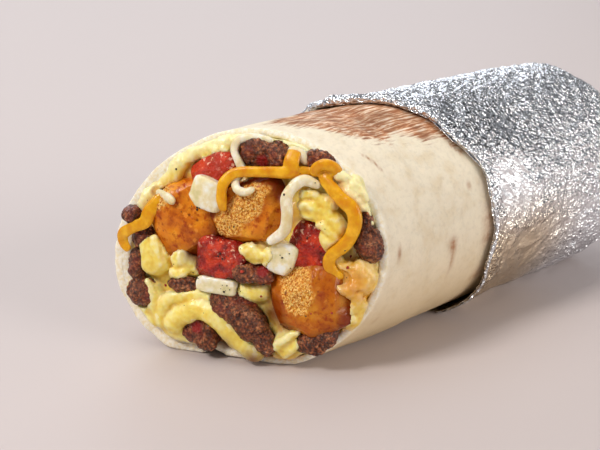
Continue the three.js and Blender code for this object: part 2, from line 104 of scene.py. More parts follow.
FOIL_EDGE_TOWARDS = math.radians(77)
FOIL_CORNER = (14.0, 14.0, 7.0)
FOIL_END = 136.0
OVAL_RISE = BODY_HEIGHT - AXIS_HEIGHT
MEAN_RADIUS = 28.0


def linear(code):
    """An sRGB hex colour as linear red, green, blue and alpha."""
    parts = np.array([int(code[i:i + 2], 16) for i in (1, 3, 5)]) / 255
    flat = np.where(parts <= 0.04045, parts / 12.92, ((parts + 0.055) / 1.055) ** 2.4)
    return (*flat.tolist(), 1.0)


def smooth(x, low, high):
    """0 below low, 1 above high, and a cubic ease between."""
    share = np.clip((x - low) / (high - low), 0, 1)
    return share * share * (3 - 2 * share)


def draw(n):
    """A repeatable number from 0 to 1 for each whole number: the fraction of a large sine."""
    s = np.sin(np.asarray(n, float) * 12.9898 + 4.1414) * 43758.5453
    return s - np.floor(s)


def waves(points, seed, pitch):
    """Five plane waves of drawn directions and phases, added: an uneven field from about -1 to 1."""
    n = seed * 20 + np.arange(5) * 4
    turn = draw(n) * 2 * np.pi
    rise = draw(n + 1) * 2 - 1
    flat = np.sqrt(1 - rise * rise)
    ways = np.stack([flat * np.cos(turn), flat * np.sin(turn), rise])
    speed = 2 * np.pi / pitch * (0.7 + 0.6 * draw(n + 2))
    return np.sin(points @ ways * speed + draw(n + 3) * 2 * np.pi).sum(-1) / 2.5


def drawn_at(corners, seed):
    """A number from 0 to 1 for each whole-number lattice corner, by mixing its three coordinates."""
    c = corners.astype(np.int64) & 0xFFFF
    mixed = (c[..., 0] * 374761393 + c[..., 1] * 668265263 + c[..., 2] * 2147483629 + seed * 974634777)
    mixed = (mixed & 0xFFFFFFFF) * 1274126177 & 0xFFFFFFFF
    mixed = (mixed ^ (mixed >> 15)) * 2246822519 & 0xFFFFFFFF
    return ((mixed ^ (mixed >> 13)) & 0xFFFFFF) / float(0xFFFFFF)


def cloud(points, seed, pitch, octaves=3, fade=0.5):
    """Numbers drawn at lattice corners, eased between the corners, in octaves: from about -1 to 1."""
    total = np.zeros(points.shape[:-1])
    weight = 1.0
    for octave in range(octaves):
        place = points / pitch * 2 ** octave + 31.7 * octave
        low = np.floor(place)
        part = place - low
        part = part * part * (3 - 2 * part)
        for corner in np.ndindex(2, 2, 2):
            near = np.prod(np.where(corner, part, 1 - part), axis=-1)
            total += weight * near * (drawn_at(low + corner, seed + octave) * 2 - 1)
        weight *= fade
    return total * (1 - fade) / (1 - fade ** octaves) * 1.6


def grains(points, seed, pitch):
    """Distances to the nearest and second nearest of points scattered one to a lattice cell, over pitch."""
    place = points / pitch
    low = np.floor(place)
    first = np.full(points.shape[:-1], 9.0)
    second = first.copy()
    for step in np.ndindex(3, 3, 3):
        corner = low + np.array(step) - 1
        middle = corner + np.stack([drawn_at(corner, seed + k) for k in range(3)], -1)
        away = np.linalg.norm(place - middle, axis=-1)
        second = np.minimum(second, np.maximum(first, away))
        first = np.minimum(first, away)
    return first, second


def creases(points, seed, pitch, count=4):
    """The highest of a few triangle waves in drawn directions over a warped space: flat facets, sharp folds."""
    warp = np.stack([cloud(points, seed + k, 2.2 * pitch, 2) for k in range(3)], -1)
    place = points + 0.45 * pitch * warp
    highest = 0
    for i in range(count):
        n = seed * 50 + i * 5
        way = np.array([draw(n), draw(n + 1), draw(n + 2)]) * 2 - 1
        way /= np.linalg.norm(way)
        phase = place @ way * (0.7 + 0.8 * draw(n + 3)) / pitch * 2 + 2 * draw(n + 4)
        highest = np.maximum(highest, np.abs(phase % 2 - 1))
    return 2 * highest - 1


def closing(t, start, end, tip):
    """The share of its width that the roll keeps as its far end rounds over, down to the tip's share."""
    s = np.clip((t - start) / (end - start), 0, 1)
    return tip + (1 - tip) * np.sqrt(1 - s ** 3)


def roll_radius(t, angle, proud=0.0, lift=0.0, rounding=1.2):
    """An oval less the pinch at the cut, plus the far side's bulge there and low bumps, met by the table plane.

    The angle starts at the top and grows towards the far side.
    """
    kept = 1 - NARROWING * t / 100
    oval = 1 / np.hypot(
        np.sin(angle) / (kept * BODY_WIDTH / 2 + proud),
        np.cos(angle) / (kept * OVAL_RISE + proud),
    )
    pinch = RIM_PINCH * np.exp(-((t / PINCH_LENGTH) ** 2)) * (0.55 + 0.45 * np.cos(angle))
    away = np.arctan2(np.sin(angle - FAR_BULGE_TOWARDS), np.cos(angle - FAR_BULGE_TOWARDS)) / FAR_BULGE_SPREAD
    bulge = FAR_BULGE * np.exp(-away ** 2 - (t / FAR_BULGE_LENGTH) ** 2)
    ring = np.stack(np.broadcast_arrays(t, 26 * np.sin(angle), 26 * np.cos(angle)), -1)
    bumps = UNEVEN * (1 - smooth(t, 30, 42)) * waves(ring, 3, 34)
    free = oval - pinch + bulge + bumps
    down = np.maximum(-np.cos(angle), 0.05)
    table = np.where(np.cos(angle) < -0.05, (AXIS_HEIGHT - lift) / down, 900.0)
    share = np.clip(0.5 + 0.5 * (table - free) / rounding, 0, 1)
    return table * (1 - share) + free * share - rounding * share * (1 - share)


def roll_point(t, angle, radius):
    """A point at a radius on the section t behind the cut; sections turn from slanted to square."""
    y = radius * np.sin(angle)
    z = radius * np.cos(angle)
    offset = -y * math.tan(CUT_SLANT) + z * math.tan(CUT_LEAN) / math.cos(CUT_SLANT)
    x = FACE_X + t + offset * (1 - smooth(t, 0, SQUARED_AT))
    return np.stack(np.broadcast_arrays(x, y, AXIS_HEIGHT + z), -1)


def tortilla_lift(t):
    """The tortilla rises off the table towards the foil that it lies on."""
    return (FOIL_THICKNESS + WRAP_GAP) * smooth(t, 16, 41)


def foil_edge(angle):
    """The foil's front edge: a slanted turn round the roll, a corner forward over the top, two ragged waves."""
    ragged = 0.9 * np.sin(5 * angle + 1) + 0.6 * np.sin(11 * angle)
    towards, spread, reach = FOIL_CORNER
    turn = angle - math.radians(towards)
    away = np.arctan2(np.sin(turn), np.cos(turn)) / math.radians(spread)
    corner = reach * np.exp(-away ** 2)
    return FOIL_EDGE - FOIL_EDGE_SLANT * np.cos(angle - FOIL_EDGE_TOWARDS) - corner + ragged


FACE_AXES = np.array([
    [math.sin(CUT_SLANT), -math.cos(CUT_SLANT), 0],
    [math.cos(CUT_SLANT) * math.sin(CUT_LEAN), math.sin(CUT_SLANT) * math.sin(CUT_LEAN), math.cos(CUT_LEAN)],
    [-math.cos(CUT_SLANT) * math.cos(CUT_LEAN), -math.sin(CUT_SLANT) * math.cos(CUT_LEAN), math.sin(CUT_LEAN)],
])
FACE_MIDDLE = np.array([FACE_X, 0, AXIS_HEIGHT + FACE_RISE])


def from_face(points):
    """Points of the cut face's own frame (to the near side, up the face, out of it) put in the part's."""
    return points @ FACE_AXES + FACE_MIDDLE


def loop_faces(rows, count):
    """Quads between each loop of count points and the next."""
    i = np.arange(rows - 1)[:, None] * count
    j = np.arange(count)[None]
    k = (j + 1) % count
    return np.stack([i + j, i + k, i + count + k, i + count + j], -1).reshape(-1, 4)


def closed_skin(loops, first_tip, last_tip):
    """Loops of points joined in a row and closed on a tip at each end, faces outwards."""
    rows, count = loops.shape[:2]
    points = np.concatenate([loops.reshape(-1, 3), [first_tip, last_tip]])
    j = np.arange(count)
    k = (j + 1) % count
    tip = np.full(count, rows * count)
    last = (rows - 1) * count
    tris = np.concatenate([np.stack([tip, k, j], 1), np.stack([tip + 1, last + j, last + k], 1)])
    return outward(points, loop_faces(rows, count), tris)


def outward(points, quads, tris=None):
    """The same closed surface with its faces turned out, told by the sign of its volume."""
    tris = np.zeros((0, 3), int) if tris is None else tris
    every = np.concatenate([quads[:, :3], quads[:, [0, 2, 3]], tris])
    a, b, c = points[every[:, 0]], points[every[:, 1]], points[every[:, 2]]
    if np.einsum("ij,ij->i", a, np.cross(b, c)).sum() < 0:
        quads, tris = quads[:, ::-1], tris[:, ::-1]
    return points, quads, tris


def box_grid(cuts):
    """A box's surface as a welded grid: directions from its middle, spread evenly, and quads."""
    steps = np.arange(cuts + 1)
    a, b = [g.ravel() for g in np.meshgrid(steps, steps, indexing="ij")]
    sides = []
    for axis in range(3):
        for end in (0, cuts):
            side = np.stack([a, b], 1)
            sides.append(np.insert(side, axis, end, axis=1))
    lattice, index = np.unique(np.concatenate(sides), axis=0, return_inverse=True)
    index = index.reshape(6, cuts + 1, cuts + 1)
    corners = [index[:, :-1, :-1], index[:, 1:, :-1], index[:, 1:, 1:], index[:, :-1, 1:]]
    quads = np.stack(corners, -1).reshape(6, -1, 4)
    for side in (0, 3, 4):
        quads[side] = quads[side][:, ::-1]
    ways = np.tan((lattice / cuts * 2 - 1) * np.pi / 4)
    return ways / np.linalg.norm(ways, axis=1, keepdims=True), quads.reshape(-1, 4)


def vertex_normals(points, quads, tris):
    """The mean of the normals of the faces round each vertex, by area."""
    every = np.concatenate([quads[:, :3], quads[:, [0, 2, 3]], tris])
    a, b, c = points[every[:, 0]], points[every[:, 1]], points[every[:, 2]]
    crossed = np.cross(b - a, c - a)
    total = np.stack([
        np.bincount(every.ravel(), np.repeat(crossed[:, k], 3), len(points)) for k in range(3)
    ], 1)
    return total / np.maximum(np.linalg.norm(total, axis=1, keepdims=True), 1e-9)


def lump(at, size, turn=0.0, squareness=2.2, rough=0.1, seed=1, cuts=24, tilt=0.0):
    """A box puffed out to a rounded block: the unit of an even power of its squareness, made uneven."""
    ways, quads = box_grid(cuts)
    radius = (np.abs(ways) ** squareness).sum(1) ** (-1 / squareness) * (1 + rough * waves(ways, seed, 1.6))
    points = ways * radius[:, None] * np.array(size) / 2
    lean = math.radians(tilt)
    y = points[:, 1] * math.cos(lean) - points[:, 2] * math.sin(lean)
    z = points[:, 1] * math.sin(lean) + points[:, 2] * math.cos(lean)
    way = math.radians(turn)
    x = points[:, 0] * math.cos(way) - y * math.sin(way)
    y = points[:, 0] * math.sin(way) + y * math.cos(way)
    return outward(np.stack([x, y, z], 1) + np.array(at), quads)


def even_path(path, count):
    """A centripetal Catmull-Rom curve through the points, cut in steps of even length."""
    p = np.array(path, float)
    p = np.concatenate([[2 * p[0] - p[1]], p, [2 * p[-1] - p[-2]]])
    s = np.linspace(0, 1, 40)[:, None]
    pieces = []
    for a, b, c, d in zip(p[:-3], p[1:-2], p[2:-1], p[3:]):
        da, db, dc = [max(np.linalg.norm(q - r) ** 0.5, 1e-4) for q, r in ((b, a), (c, b), (d, c))]
        start = ((b - a) / da - (c - a) / (da + db) + (c - b) / db) * db
        end = ((c - b) / db - (d - b) / (db + dc) + (d - c) / dc) * db
        piece = b + start * s + (3 * (c - b) - 2 * start - end) * s ** 2
        pieces.append(piece + (2 * (b - c) + start + end) * s ** 3)
    curve = np.concatenate(pieces)
    length = np.concatenate([[0], np.cumsum(np.linalg.norm(np.diff(curve, axis=0), axis=1))])
    even = np.linspace(0, length[-1], count)
    return np.stack([np.interp(even, length, curve[:, k]) for k in range(3)], 1), length[-1]


def strand(path, width, thick, sides=20, step=0.35, boxy=2.6, seed=1, uneven=0.1, taper=0.0):
    """A rounded-box section carried along a smooth path on the face, its ends drawn thin and rounded over."""
    span = even_path(path, 200)[1]
    count = max(12, int(span / step))
    middle, span = even_path(path, count)
    along = np.gradient(middle, axis=0)
    along /= np.linalg.norm(along, axis=1, keepdims=True)
    across = np.cross(along, [0, 0, 1.0])
    across /= np.linalg.norm(across, axis=1, keepdims=True)
    lift = np.cross(across, along)
    away = np.minimum(np.linspace(0, span, count), np.linspace(span, 0, count))
    cap = np.sqrt(np.clip(1 - (1 - away / (0.5 * thick)).clip(0, 1) ** 2, 0.02, 1))
    swell = cap * (1 + uneven * cloud(middle, seed, 1.6 * width, 2)) * (1 - taper * (1 - smooth(away, 0, 4)))
    turn = np.linspace(0, 2 * np.pi, sides, endpoint=False)
    ring = (np.abs(np.cos(turn)) ** boxy + np.abs(np.sin(turn)) ** boxy) ** (-1 / boxy)
    x = (ring * np.cos(turn))[None] * (swell * width / 2)[:, None]
    y = (ring * np.sin(turn))[None] * (swell * thick / 2)[:, None]
    loops = middle[:, None] + x[..., None] * across[:, None] + y[..., None] * lift[:, None]
    return closed_skin(loops, middle[0] - 0.04 * along[0], middle[-1] + 0.04 * along[-1])


def joined(shells):
    """Several closed surfaces as one set of points and faces."""
    start = np.cumsum([0] + [len(s[0]) for s in shells])
    points = np.concatenate([s[0] for s in shells])
    quads = np.concatenate([s[1] + n for s, n in zip(shells, start)])
    tris = np.concatenate([s[2] + n for s, n in zip(shells, start)])
    return points, quads, tris


def raw_mesh(name, points, quads, tris):
    """A mesh datablock, in metres, of points in millimetres and their faces."""
    mesh = bpy.data.meshes.new(name)
    mesh.from_pydata((points * MM).tolist(), [], quads.tolist() + tris.tolist())
    mesh.polygons.foreach_set("use_smooth", np.ones(len(mesh.polygons), bool))
    mesh.update()
    return mesh


def fused(shells, voxel, rounds=2):
    """Overlapping closed surfaces grown into one skin of small even quads, lightly smoothed."""
    holder = bpy.data.objects.new("fusing", raw_mesh("fusing", *joined(shells)))
    bpy.context.scene.collection.objects.link(holder)
    remesh = holder.modifiers.new("grow together", "REMESH")
    remesh.mode = "VOXEL"
    remesh.voxel_size = voxel * MM
    soften = holder.modifiers.new("soften", "SMOOTH")
    soften.factor = 0.5
    soften.iterations = rounds
    made = holder.evaluated_get(bpy.context.evaluated_depsgraph_get()).to_mesh()
    points = np.empty(len(made.vertices) * 3, np.float32)
    made.vertices.foreach_get("co", points)
    index = np.empty(len(made.loops), np.int32)
    made.loops.foreach_get("vertex_index", index)
    counts = np.empty(len(made.polygons), np.int32)
    made.polygons.foreach_get("loop_total", counts)
    starts = np.empty(len(made.polygons), np.int32)
    made.polygons.foreach_get("loop_start", starts)
    quads = index[starts[counts == 4][:, None] + np.arange(4)]
    tris = index[starts[counts == 3][:, None] + np.arange(3)]
    holder.to_mesh_clear()
    bpy.data.objects.remove(holder)
    return points.reshape(-1, 3).astype(float) / MM, quads.astype(int), tris.astype(int)


def finished(name, shell, material, slot, nodes=(), masks=None):
    """A smooth-shaded piece at the origin that rides on the part and stands for its nodes."""
    points, quads, tris = shell
    mesh = raw_mesh(name, points, quads, tris)
    for title, values in (masks or {}).items():
        kind, field = ("FLOAT_VECTOR", "vector") if values.ndim == 2 else ("FLOAT", "value")
        mesh.attributes.new(title, kind, "POINT").data.foreach_set(field, values.astype(np.float32).ravel())
    mesh.materials.append(material)
    piece = bpy.data.objects.new(name, mesh)
    bpy.context.scene.collection.objects.link(piece)
    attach(piece, "root")
    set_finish(piece, slot)
    if nodes:
        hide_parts(*nodes)
    return piece


def add(tree, kind, inputs=None, stops=None, **settings):
    """Adds a node with its settings, its input values or links, and the stops of a colour ramp."""
    node = tree.nodes.new(kind)
    for name, value in settings.items():
        setattr(node, name, value)
    for name, value in (inputs or {}).items():
        if isinstance(value, bpy.types.NodeSocket):
            tree.links.new(value, node.inputs[name])
        else:
            node.inputs[name].default_value = value
    if stops:
        ramp = node.color_ramp.elements
        while len(ramp) < len(stops):
            ramp.new(1.0)
        for element, (place, colour) in zip(ramp, stops):
            element.position = place
            element.color = colour
    return node


def new_material(name, **surface):
    """A material with one Principled shader, whose even values are set on its own sockets."""
    material = bpy.data.materials.new(name)
    material.use_nodes = True
    tree = material.node_tree
    shader = tree.nodes["Principled BSDF"]
    for socket, value in surface.items():
        shader.inputs[socket.replace("_", " ").title().replace("Ior", "IOR")].default_value = value
    return material, tree, shader


def grey(level):
    """A grey stop for a ramp that is read as a number."""
    return (level, level, level, 1.0)


# Sockets of the colour mixing node, which has several of each name.
FACTOR, COLOUR_A, COLOUR_B, MIXED = 0, 6, 7, 2

# Tortilla marks, as places behind the cut in millimetres and angles from the top in degrees.
PATCH_LOW = ((4, -3), (6.6, -11), (9.8, -21), (12.8, -29), (28, -36), (35, -32), (44, -37), (50, -43), (60, -46))
PATCH_HIGH = ((4, 4), (14.8, 14), (26.8, 26), (34, 30), (45, 22), (60, 8))
PATCH_START = 6.5
SPOTS = (
    (50, -65, 0.7, 0.9, 0.9), (6, -85.5, 0.8, 1.5, 1.0), (41, -91, 1.4, 1.7, 1.0), (41.6, -98, 0.7, 3.6, 0.8),
    (8.5, -120.5, 1.1, 1.1, 0.3), (54.5, -126.5, 1.1, 1.1, 0.3), (20, 96, 1.6, 2.2, 0.7), (47, 74, 1.3, 1.3, 0.6),
    (12, 120, 1.1, 1.7, 0.6),
)
SCRATCH = ((8, -36), (8.6, -38.2), (9.2, -40.5), (9.7, -43.6), (10.2, -47))
FAR_PATCHES = ((27, 62, 13, 6.5, 0.75), (36, 100, 9, 4, 0.5))

FLARES = ((-130, 1.1, 20), (24, 0.4, 24))
FLARE_LENGTH = 7.0
# Where the foil's painted warm reflection and its smooth underside give way to crumple, behind the cut in millimetres.
WARM_FADE = (74.0, 104.0)
FOIL_START_CLOSING = 113.0
FOIL_FOLDS = (
    (3.2, 0.55, 0.8, -96, 20), (9.6, 0.8, 0.8, -100, 22),
    (5.0, 0.9, 0.7, 110, 40), (9.0, -0.8, 0.7, 100, 45), (4.0, 0.3, 0.6, 178, 60),
)

# Pieces of the filling on the face: places and whole sizes to the near side, up, and out of it.
ONION = {"squareness": 6, "rough": 0.05}
TOMATO = {"squareness": 4.5, "rough": 0.07}
SAUSAGE = {"squareness": 2.3, "rough": 0.13}
POTATO = {"squareness": 3.4, "rough": 0.06}
ONIONS = {
    "onion_upper": [dict(ONION, seed=31, at=(-9, 11.9, 5), size=(8, 7.2, 3.2), turn=-16)],
    "onion_middle": [dict(ONION, seed=32, at=(9.6, -1.2, 3), size=(6.6, 7.6, 4.4), turn=-14)],
    "onion_bar": [dict(ONION, seed=33, at=(-5.9, -9.6, 3.8), size=(9.8, 3.8, 3.2), turn=-3)],
}
TOMATOES = {
    "tomato_upper": [dict(TOMATO, seed=21, at=(-8.6, 16.6, 0.8), size=(12.4, 8, 6.4), turn=26)],
    "tomato_left": [dict(TOMATO, seed=22, at=(-5.4, -3.2, 1.6), size=(12.4, 10, 7.6), turn=-6)],
    "tomato_right": [dict(TOMATO, seed=23, at=(16, 1.6, 0.8), size=(10.4, 11.6, 7), turn=-16)],
}
SAUSAGES = {
    "sausage_top": [
        dict(SAUSAGE, seed=41, at=(1.2, 22.1, 0.8), size=(8.8, 8, 7)),
        dict(SAUSAGE, seed=42, at=(6, 21.7, 0.6), size=(8, 7.6, 7)),
    ],
    "sausage_top_right": [dict(SAUSAGE, seed=43, at=(16.4, 21, 0.6), size=(8.4, 6.2, 6), turn=-35)],
    "sausage_right": [
        dict(SAUSAGE, seed=44, at=(29, 4, 1), size=(7.2, 8.4, 6.6)),
        dict(SAUSAGE, seed=45, at=(27.8, 9.4, 0.8), size=(4, 7, 4.4)),
    ],
    "sausage_middle": [
        dict(SAUSAGE, seed=46, at=(0.4, -5.8, 3.4), size=(6.8, 5.8, 5)),
        dict(SAUSAGE, seed=47, at=(4.8, -6, 3.2), size=(6.6, 5.2, 5)),
    ],
    "sausage_left_bar": [dict(SAUSAGE, seed=48, at=(-14.6, -10.6, 3), size=(8.8, 4.4, 4.2), turn=8)],
    "sausage_diagonal": [
        dict(SAUSAGE, seed=50, at=(-3.2, -14, 2.6), size=(9.6, 7.8, 6.6), turn=-25),
        dict(SAUSAGE, seed=53, at=(-0.2, -15.8, 2.9), size=(9, 8.4, 7), turn=-30),
        dict(SAUSAGE, seed=51, at=(2.6, -17.6, 3), size=(9.8, 8, 7), turn=-40),
        dict(SAUSAGE, seed=52, at=(5.6, -21.4, 2.4), size=(8.4, 5.8, 6), turn=-40),
    ],
    "sausage_lower_left": [dict(SAUSAGE, seed=54, at=(-9.6, -22, 1), size=(10, 7.6, 6), turn=-30)],
    "sausage_left_rim": [
        dict(SAUSAGE, seed=55, at=(-26.9, -7, 1.6), size=(4.8, 8.4, 5)),
        dict(SAUSAGE, seed=56, at=(-25.4, -14, 1.6), size=(7.4, 8, 6)),
    ],
    "sausage_left_crumb": [dict(SAUSAGE, seed=58, at=(-28.4, 4.4, 2.2), size=(5.6, 5, 5))],
    "sausage_left_flat": [dict(SAUSAGE, seed=59, at=(-26.2, -0.6, 1), size=(6.6, 5.4, 4), turn=42)],
    "sausage_lower_right": [
        dict(SAUSAGE, seed=60, at=(20.8, -16.8, 1.8), size=(7.4, 8.8, 6)),
        dict(SAUSAGE, seed=61, at=(17, -20.6, 1.8), size=(8, 6.6, 5.4)),
    ],
}
POTATOES = {
    "potato_middle": [dict(POTATO, seed=12, at=(1, 8.4, -1.8), size=(19.4, 14.6, 15), turn=26)],
    "potato_left": [dict(POTATO, seed=11, at=(-15.2, 4.4, -2.8), size=(18.4, 20, 15), turn=14)],
    "potato_right": [dict(POTATO, seed=13, at=(17.2, -10.6, -1.8), size=(20.4, 18, 15.6), turn=24)],
}
# Sandy patches on the potatoes: middle, half sizes and turn on the face, in millimetres and degrees.
SANDY = {
    "potato_middle": (-0.9, 9.0, 8.4, 3.6, 50),
    "potato_left": (-20.5, 9.5, 3.0, 1.6, 60),
    "potato_right": (13.8, -8.0, 3.8, 6.0, 12),
}
# Ways on the face, in shares of the piece's half size, towards which each potato is painted darker red-brown, as shade.
SHADED = {
    "potato_middle": ((0.35, 1.1), (-1.1, -0.45)),
    "potato_left": ((0.8, -0.55), (0.2, -1.0)),
    "potato_right": ((-0.75, -0.75), (1.0, -0.1), (0.3, -1.0)),
}
# The share of painted shade, red-brown, all over each potato.
ALL_OVER_SHADE = {"potato_middle": 0.0, "potato_left": 0.0, "potato_right": 0.4}
# Flat sides that the knife left: the direction each faces, and the share of the piece's reach that it keeps.
FACETS = {
    "potato_middle": (((-0.35, 0.3, 1), 0.86), ((0.8, -0.3, 0.75), 0.82), ((0.1, -0.9, 0.5), 0.85)),
    "potato_left": (((0.15, 0.1, 1), 0.9), ((-0.75, 0.55, 0.6), 0.86), ((0.55, -0.75, 0.6), 0.84)),
    "potato_right": (((-0.35, 0.4, 1), 0.87), ((0.8, 0.2, 0.7), 0.84), ((-0.3, -0.85, 0.55), 0.85)),
    "tomato_upper": (((-0.5, 0.5, 0.8), 0.84), ((0.7, -0.3, 0.7), 0.88)),
    "tomato_left": (((0.5, 0.6, 0.8), 0.86), ((-0.3, -0.7, 0.7), 0.88)),
    "tomato_right": (((0.6, 0.6, 0.7), 0.84), ((-0.6, 0.2, 0.8), 0.88)),
    "onion_upper": (((-0.8, -0.6, 0.1), 0.78), ((0.6, 0.8, 0.1), 0.86), ((-0.5, 0.3, 0.9), 0.9)),
    "onion_middle": (((0.7, -0.7, 0.3), 0.84), ((-0.4, 0.8, 0.6), 0.88)),
    "onion_bar": (((0.9, 0.4, 0.3), 0.92),),
}
WHITE_STRANDS = {
    "white_cheese_s_strand": (2.6, 2.4, [
        (17.6, 16.4, 4.2), (13.6, 17.4, 5.4), (10.6, 13.8, 6.6), (10.9, 9.4, 6.8), (10.4, 5.8, 6.4), (6.4, 2.2, 5.6),
    ]),
    "white_cheese_hook_strand": (2, 1.9, [
        (5, 25.2, 1.8), (0.6, 25.6, 2.2), (-3, 24.8, 2.6), (-3.8, 22.4, 3), (-2.6, 20, 3.2), (-1.6, 18, 3.4),
        (-2.4, 15.8, 5.2), (-1.4, 13.9, 6.4), (0.6, 13.5, 6.4), (2.6, 14.6, 6.2),
    ]),
    "white_cheese_top_strand": (2.8, 2.5, [(8.6, 23.6, 2), (12.2, 22.6, 2.2), (13.8, 20.6, 1.8)]),
    "white_cheese_rim_strand": (2.2, 2, [(-22.8, 10.6, 2.2), (-20, 10.1, 3.4), (-17, 9, 5.6)]),
}
CHEDDAR_STRANDS = {
    "cheddar_arch_strand": (2.6, 1.8, [
        (-4.4, 8.4, 6.4), (-5, 11.6, 6.8), (-4.8, 14.8, 6.6), (-2.6, 17.4, 6), (4, 18.4, 5.4), (10, 18.7, 4.2),
        (13.6, 19.2, 3.2), (15.8, 19.8, 3.4),
    ]),
    "cheddar_long_strand": (3, 1.9, [
        (17.2, 20, 3.8), (18.5, 18, 4.2), (20.4, 16.2, 4.6), (23, 14, 5), (25.5, 12.2, 5.2), (26.4, 9.6, 5.2),
        (25.7, 6, 5), (23.8, 3.2, 4.8), (21.6, 1.2, 4.6), (20.8, -1, 4.2), (22, -3, 3.8), (24.4, -4.1, 3.4),
    ]),
    "cheddar_left_strand": (3, 1, [
        (-18.6, 11.6, 2.8), (-21.2, 9, 3.4), (-23.6, 5.9, 4), (-24.6, 3.4, 4), (-27.3, 1.9, 4), (-30.4, -0.4, 3.2), (-30.3, -2.6, 2.6),
        (-28.6, -4.2, 3),
    ]),
}
# Short branches of shred that have melted onto a longer one.
CHEDDAR_BRANCHES = {
    "cheddar_arch_strand": [(3.8, 1.2, [(10.4, 18.6, 4.4), (10.4, 21.2, 4.4), (10.8, 24, 3.2)])],
    "cheddar_long_strand": [
        (2.5, 2, [(16.2, 18.4, 3.8), (16.2, 20.2, 4.6), (18.2, 21.5, 5), (20.6, 20.9, 4.4), (21.4, 19.2, 3.4)]),
        (3.2, 1.4, [(17.2, 19.8, 3.7), (18.8, 19.5, 3.9), (20.6, 19.2, 3.6)]),
    ],
}

# Folds and curds of egg: width, thickness and path.
CURDS = (
    (5.4, 4.4, [(-17.6, -22.6, 1.6), (-16.2, -20, 2.6), (-13.6, -17.6, 3.2), (-9.6, -16, 3.4), (-5.4, -17.6, 3.2),
                (-1.4, -21, 2.8), (2.6, -23.6, 2.2), (6.4, -25.4, 1.2)]),
    (3.4, 3.6, [(-18.8, -22.4, 1), (-20.2, -19, 1.8), (-17.8, -14.6, 2.6), (-12, -12.9, 2.8), (-6, -13.4, 2.2)]),
    (7, 6.4, [(-23.4, 0, 0), (-22.2, -5, 1.2), (-20.8, -9.6, 1.2)]),
    (6.6, 5, [(-17, -8, 1), (-14, -6.4, 1.6), (-12.4, -4, 1)]),
    (4.4, 4.6, [(-1, -1.4, 2.6), (2.6, -1, 3), (6, -1.6, 2.6)]),
    (5, 5, [(-1.6, -10.6, 1), (3, -10.6, 1.4), (7, -9.6, 1)]),
    (6.4, 5, [(9, -24, 0.6), (11.6, -21.6, 1.8), (15.2, -18.6, 1.4)]),
    (6.4, 5, [(21.6, 17.8, 0.6), (24, 15.6, 1.6), (25.4, 13.6, 1.2)]),
    (3.8, 4.6, [(12.4, 13.2, 2), (17, 12.8, 2.8), (22, 12.4, 2.4)]),
    (3.8, 4.6, [(12.4, 9.6, 2), (17, 9.8, 3), (21.4, 8.4, 3), (23, 5.2, 2)]),
    (5.4, 5.6, [(19, 6.6, 1.4), (20.8, 4.4, 2.6), (22.4, 1.8, 1.4)]),
    (8.6, 6, [(24.4, -1.4, 0.4), (27, -4.4, 1), (27.4, -8, 0.4)]),
    (5, 5, [(28, -8, 0), (26.6, -12, 0.6), (24.4, -16.4, 0)]),
    (4, 4.4, [(-10.4, 20.4, -0.4), (-4.4, 22.8, 0), (3.4, 23.4, 0), (11, 22, 0), (17.4, 18.8, -0.6)]),
    (5, 5, [(-22.4, 12.4, 0), (-24.4, 8, 0.6), (-25.6, 4.4, 0)]),
    (6, 5, [(-24, -11.4, 0.8), (-21.8, -16.2, 1), (-17.4, -20.8, 0.8), (-12.6, -23.4, 0.2)]),
)
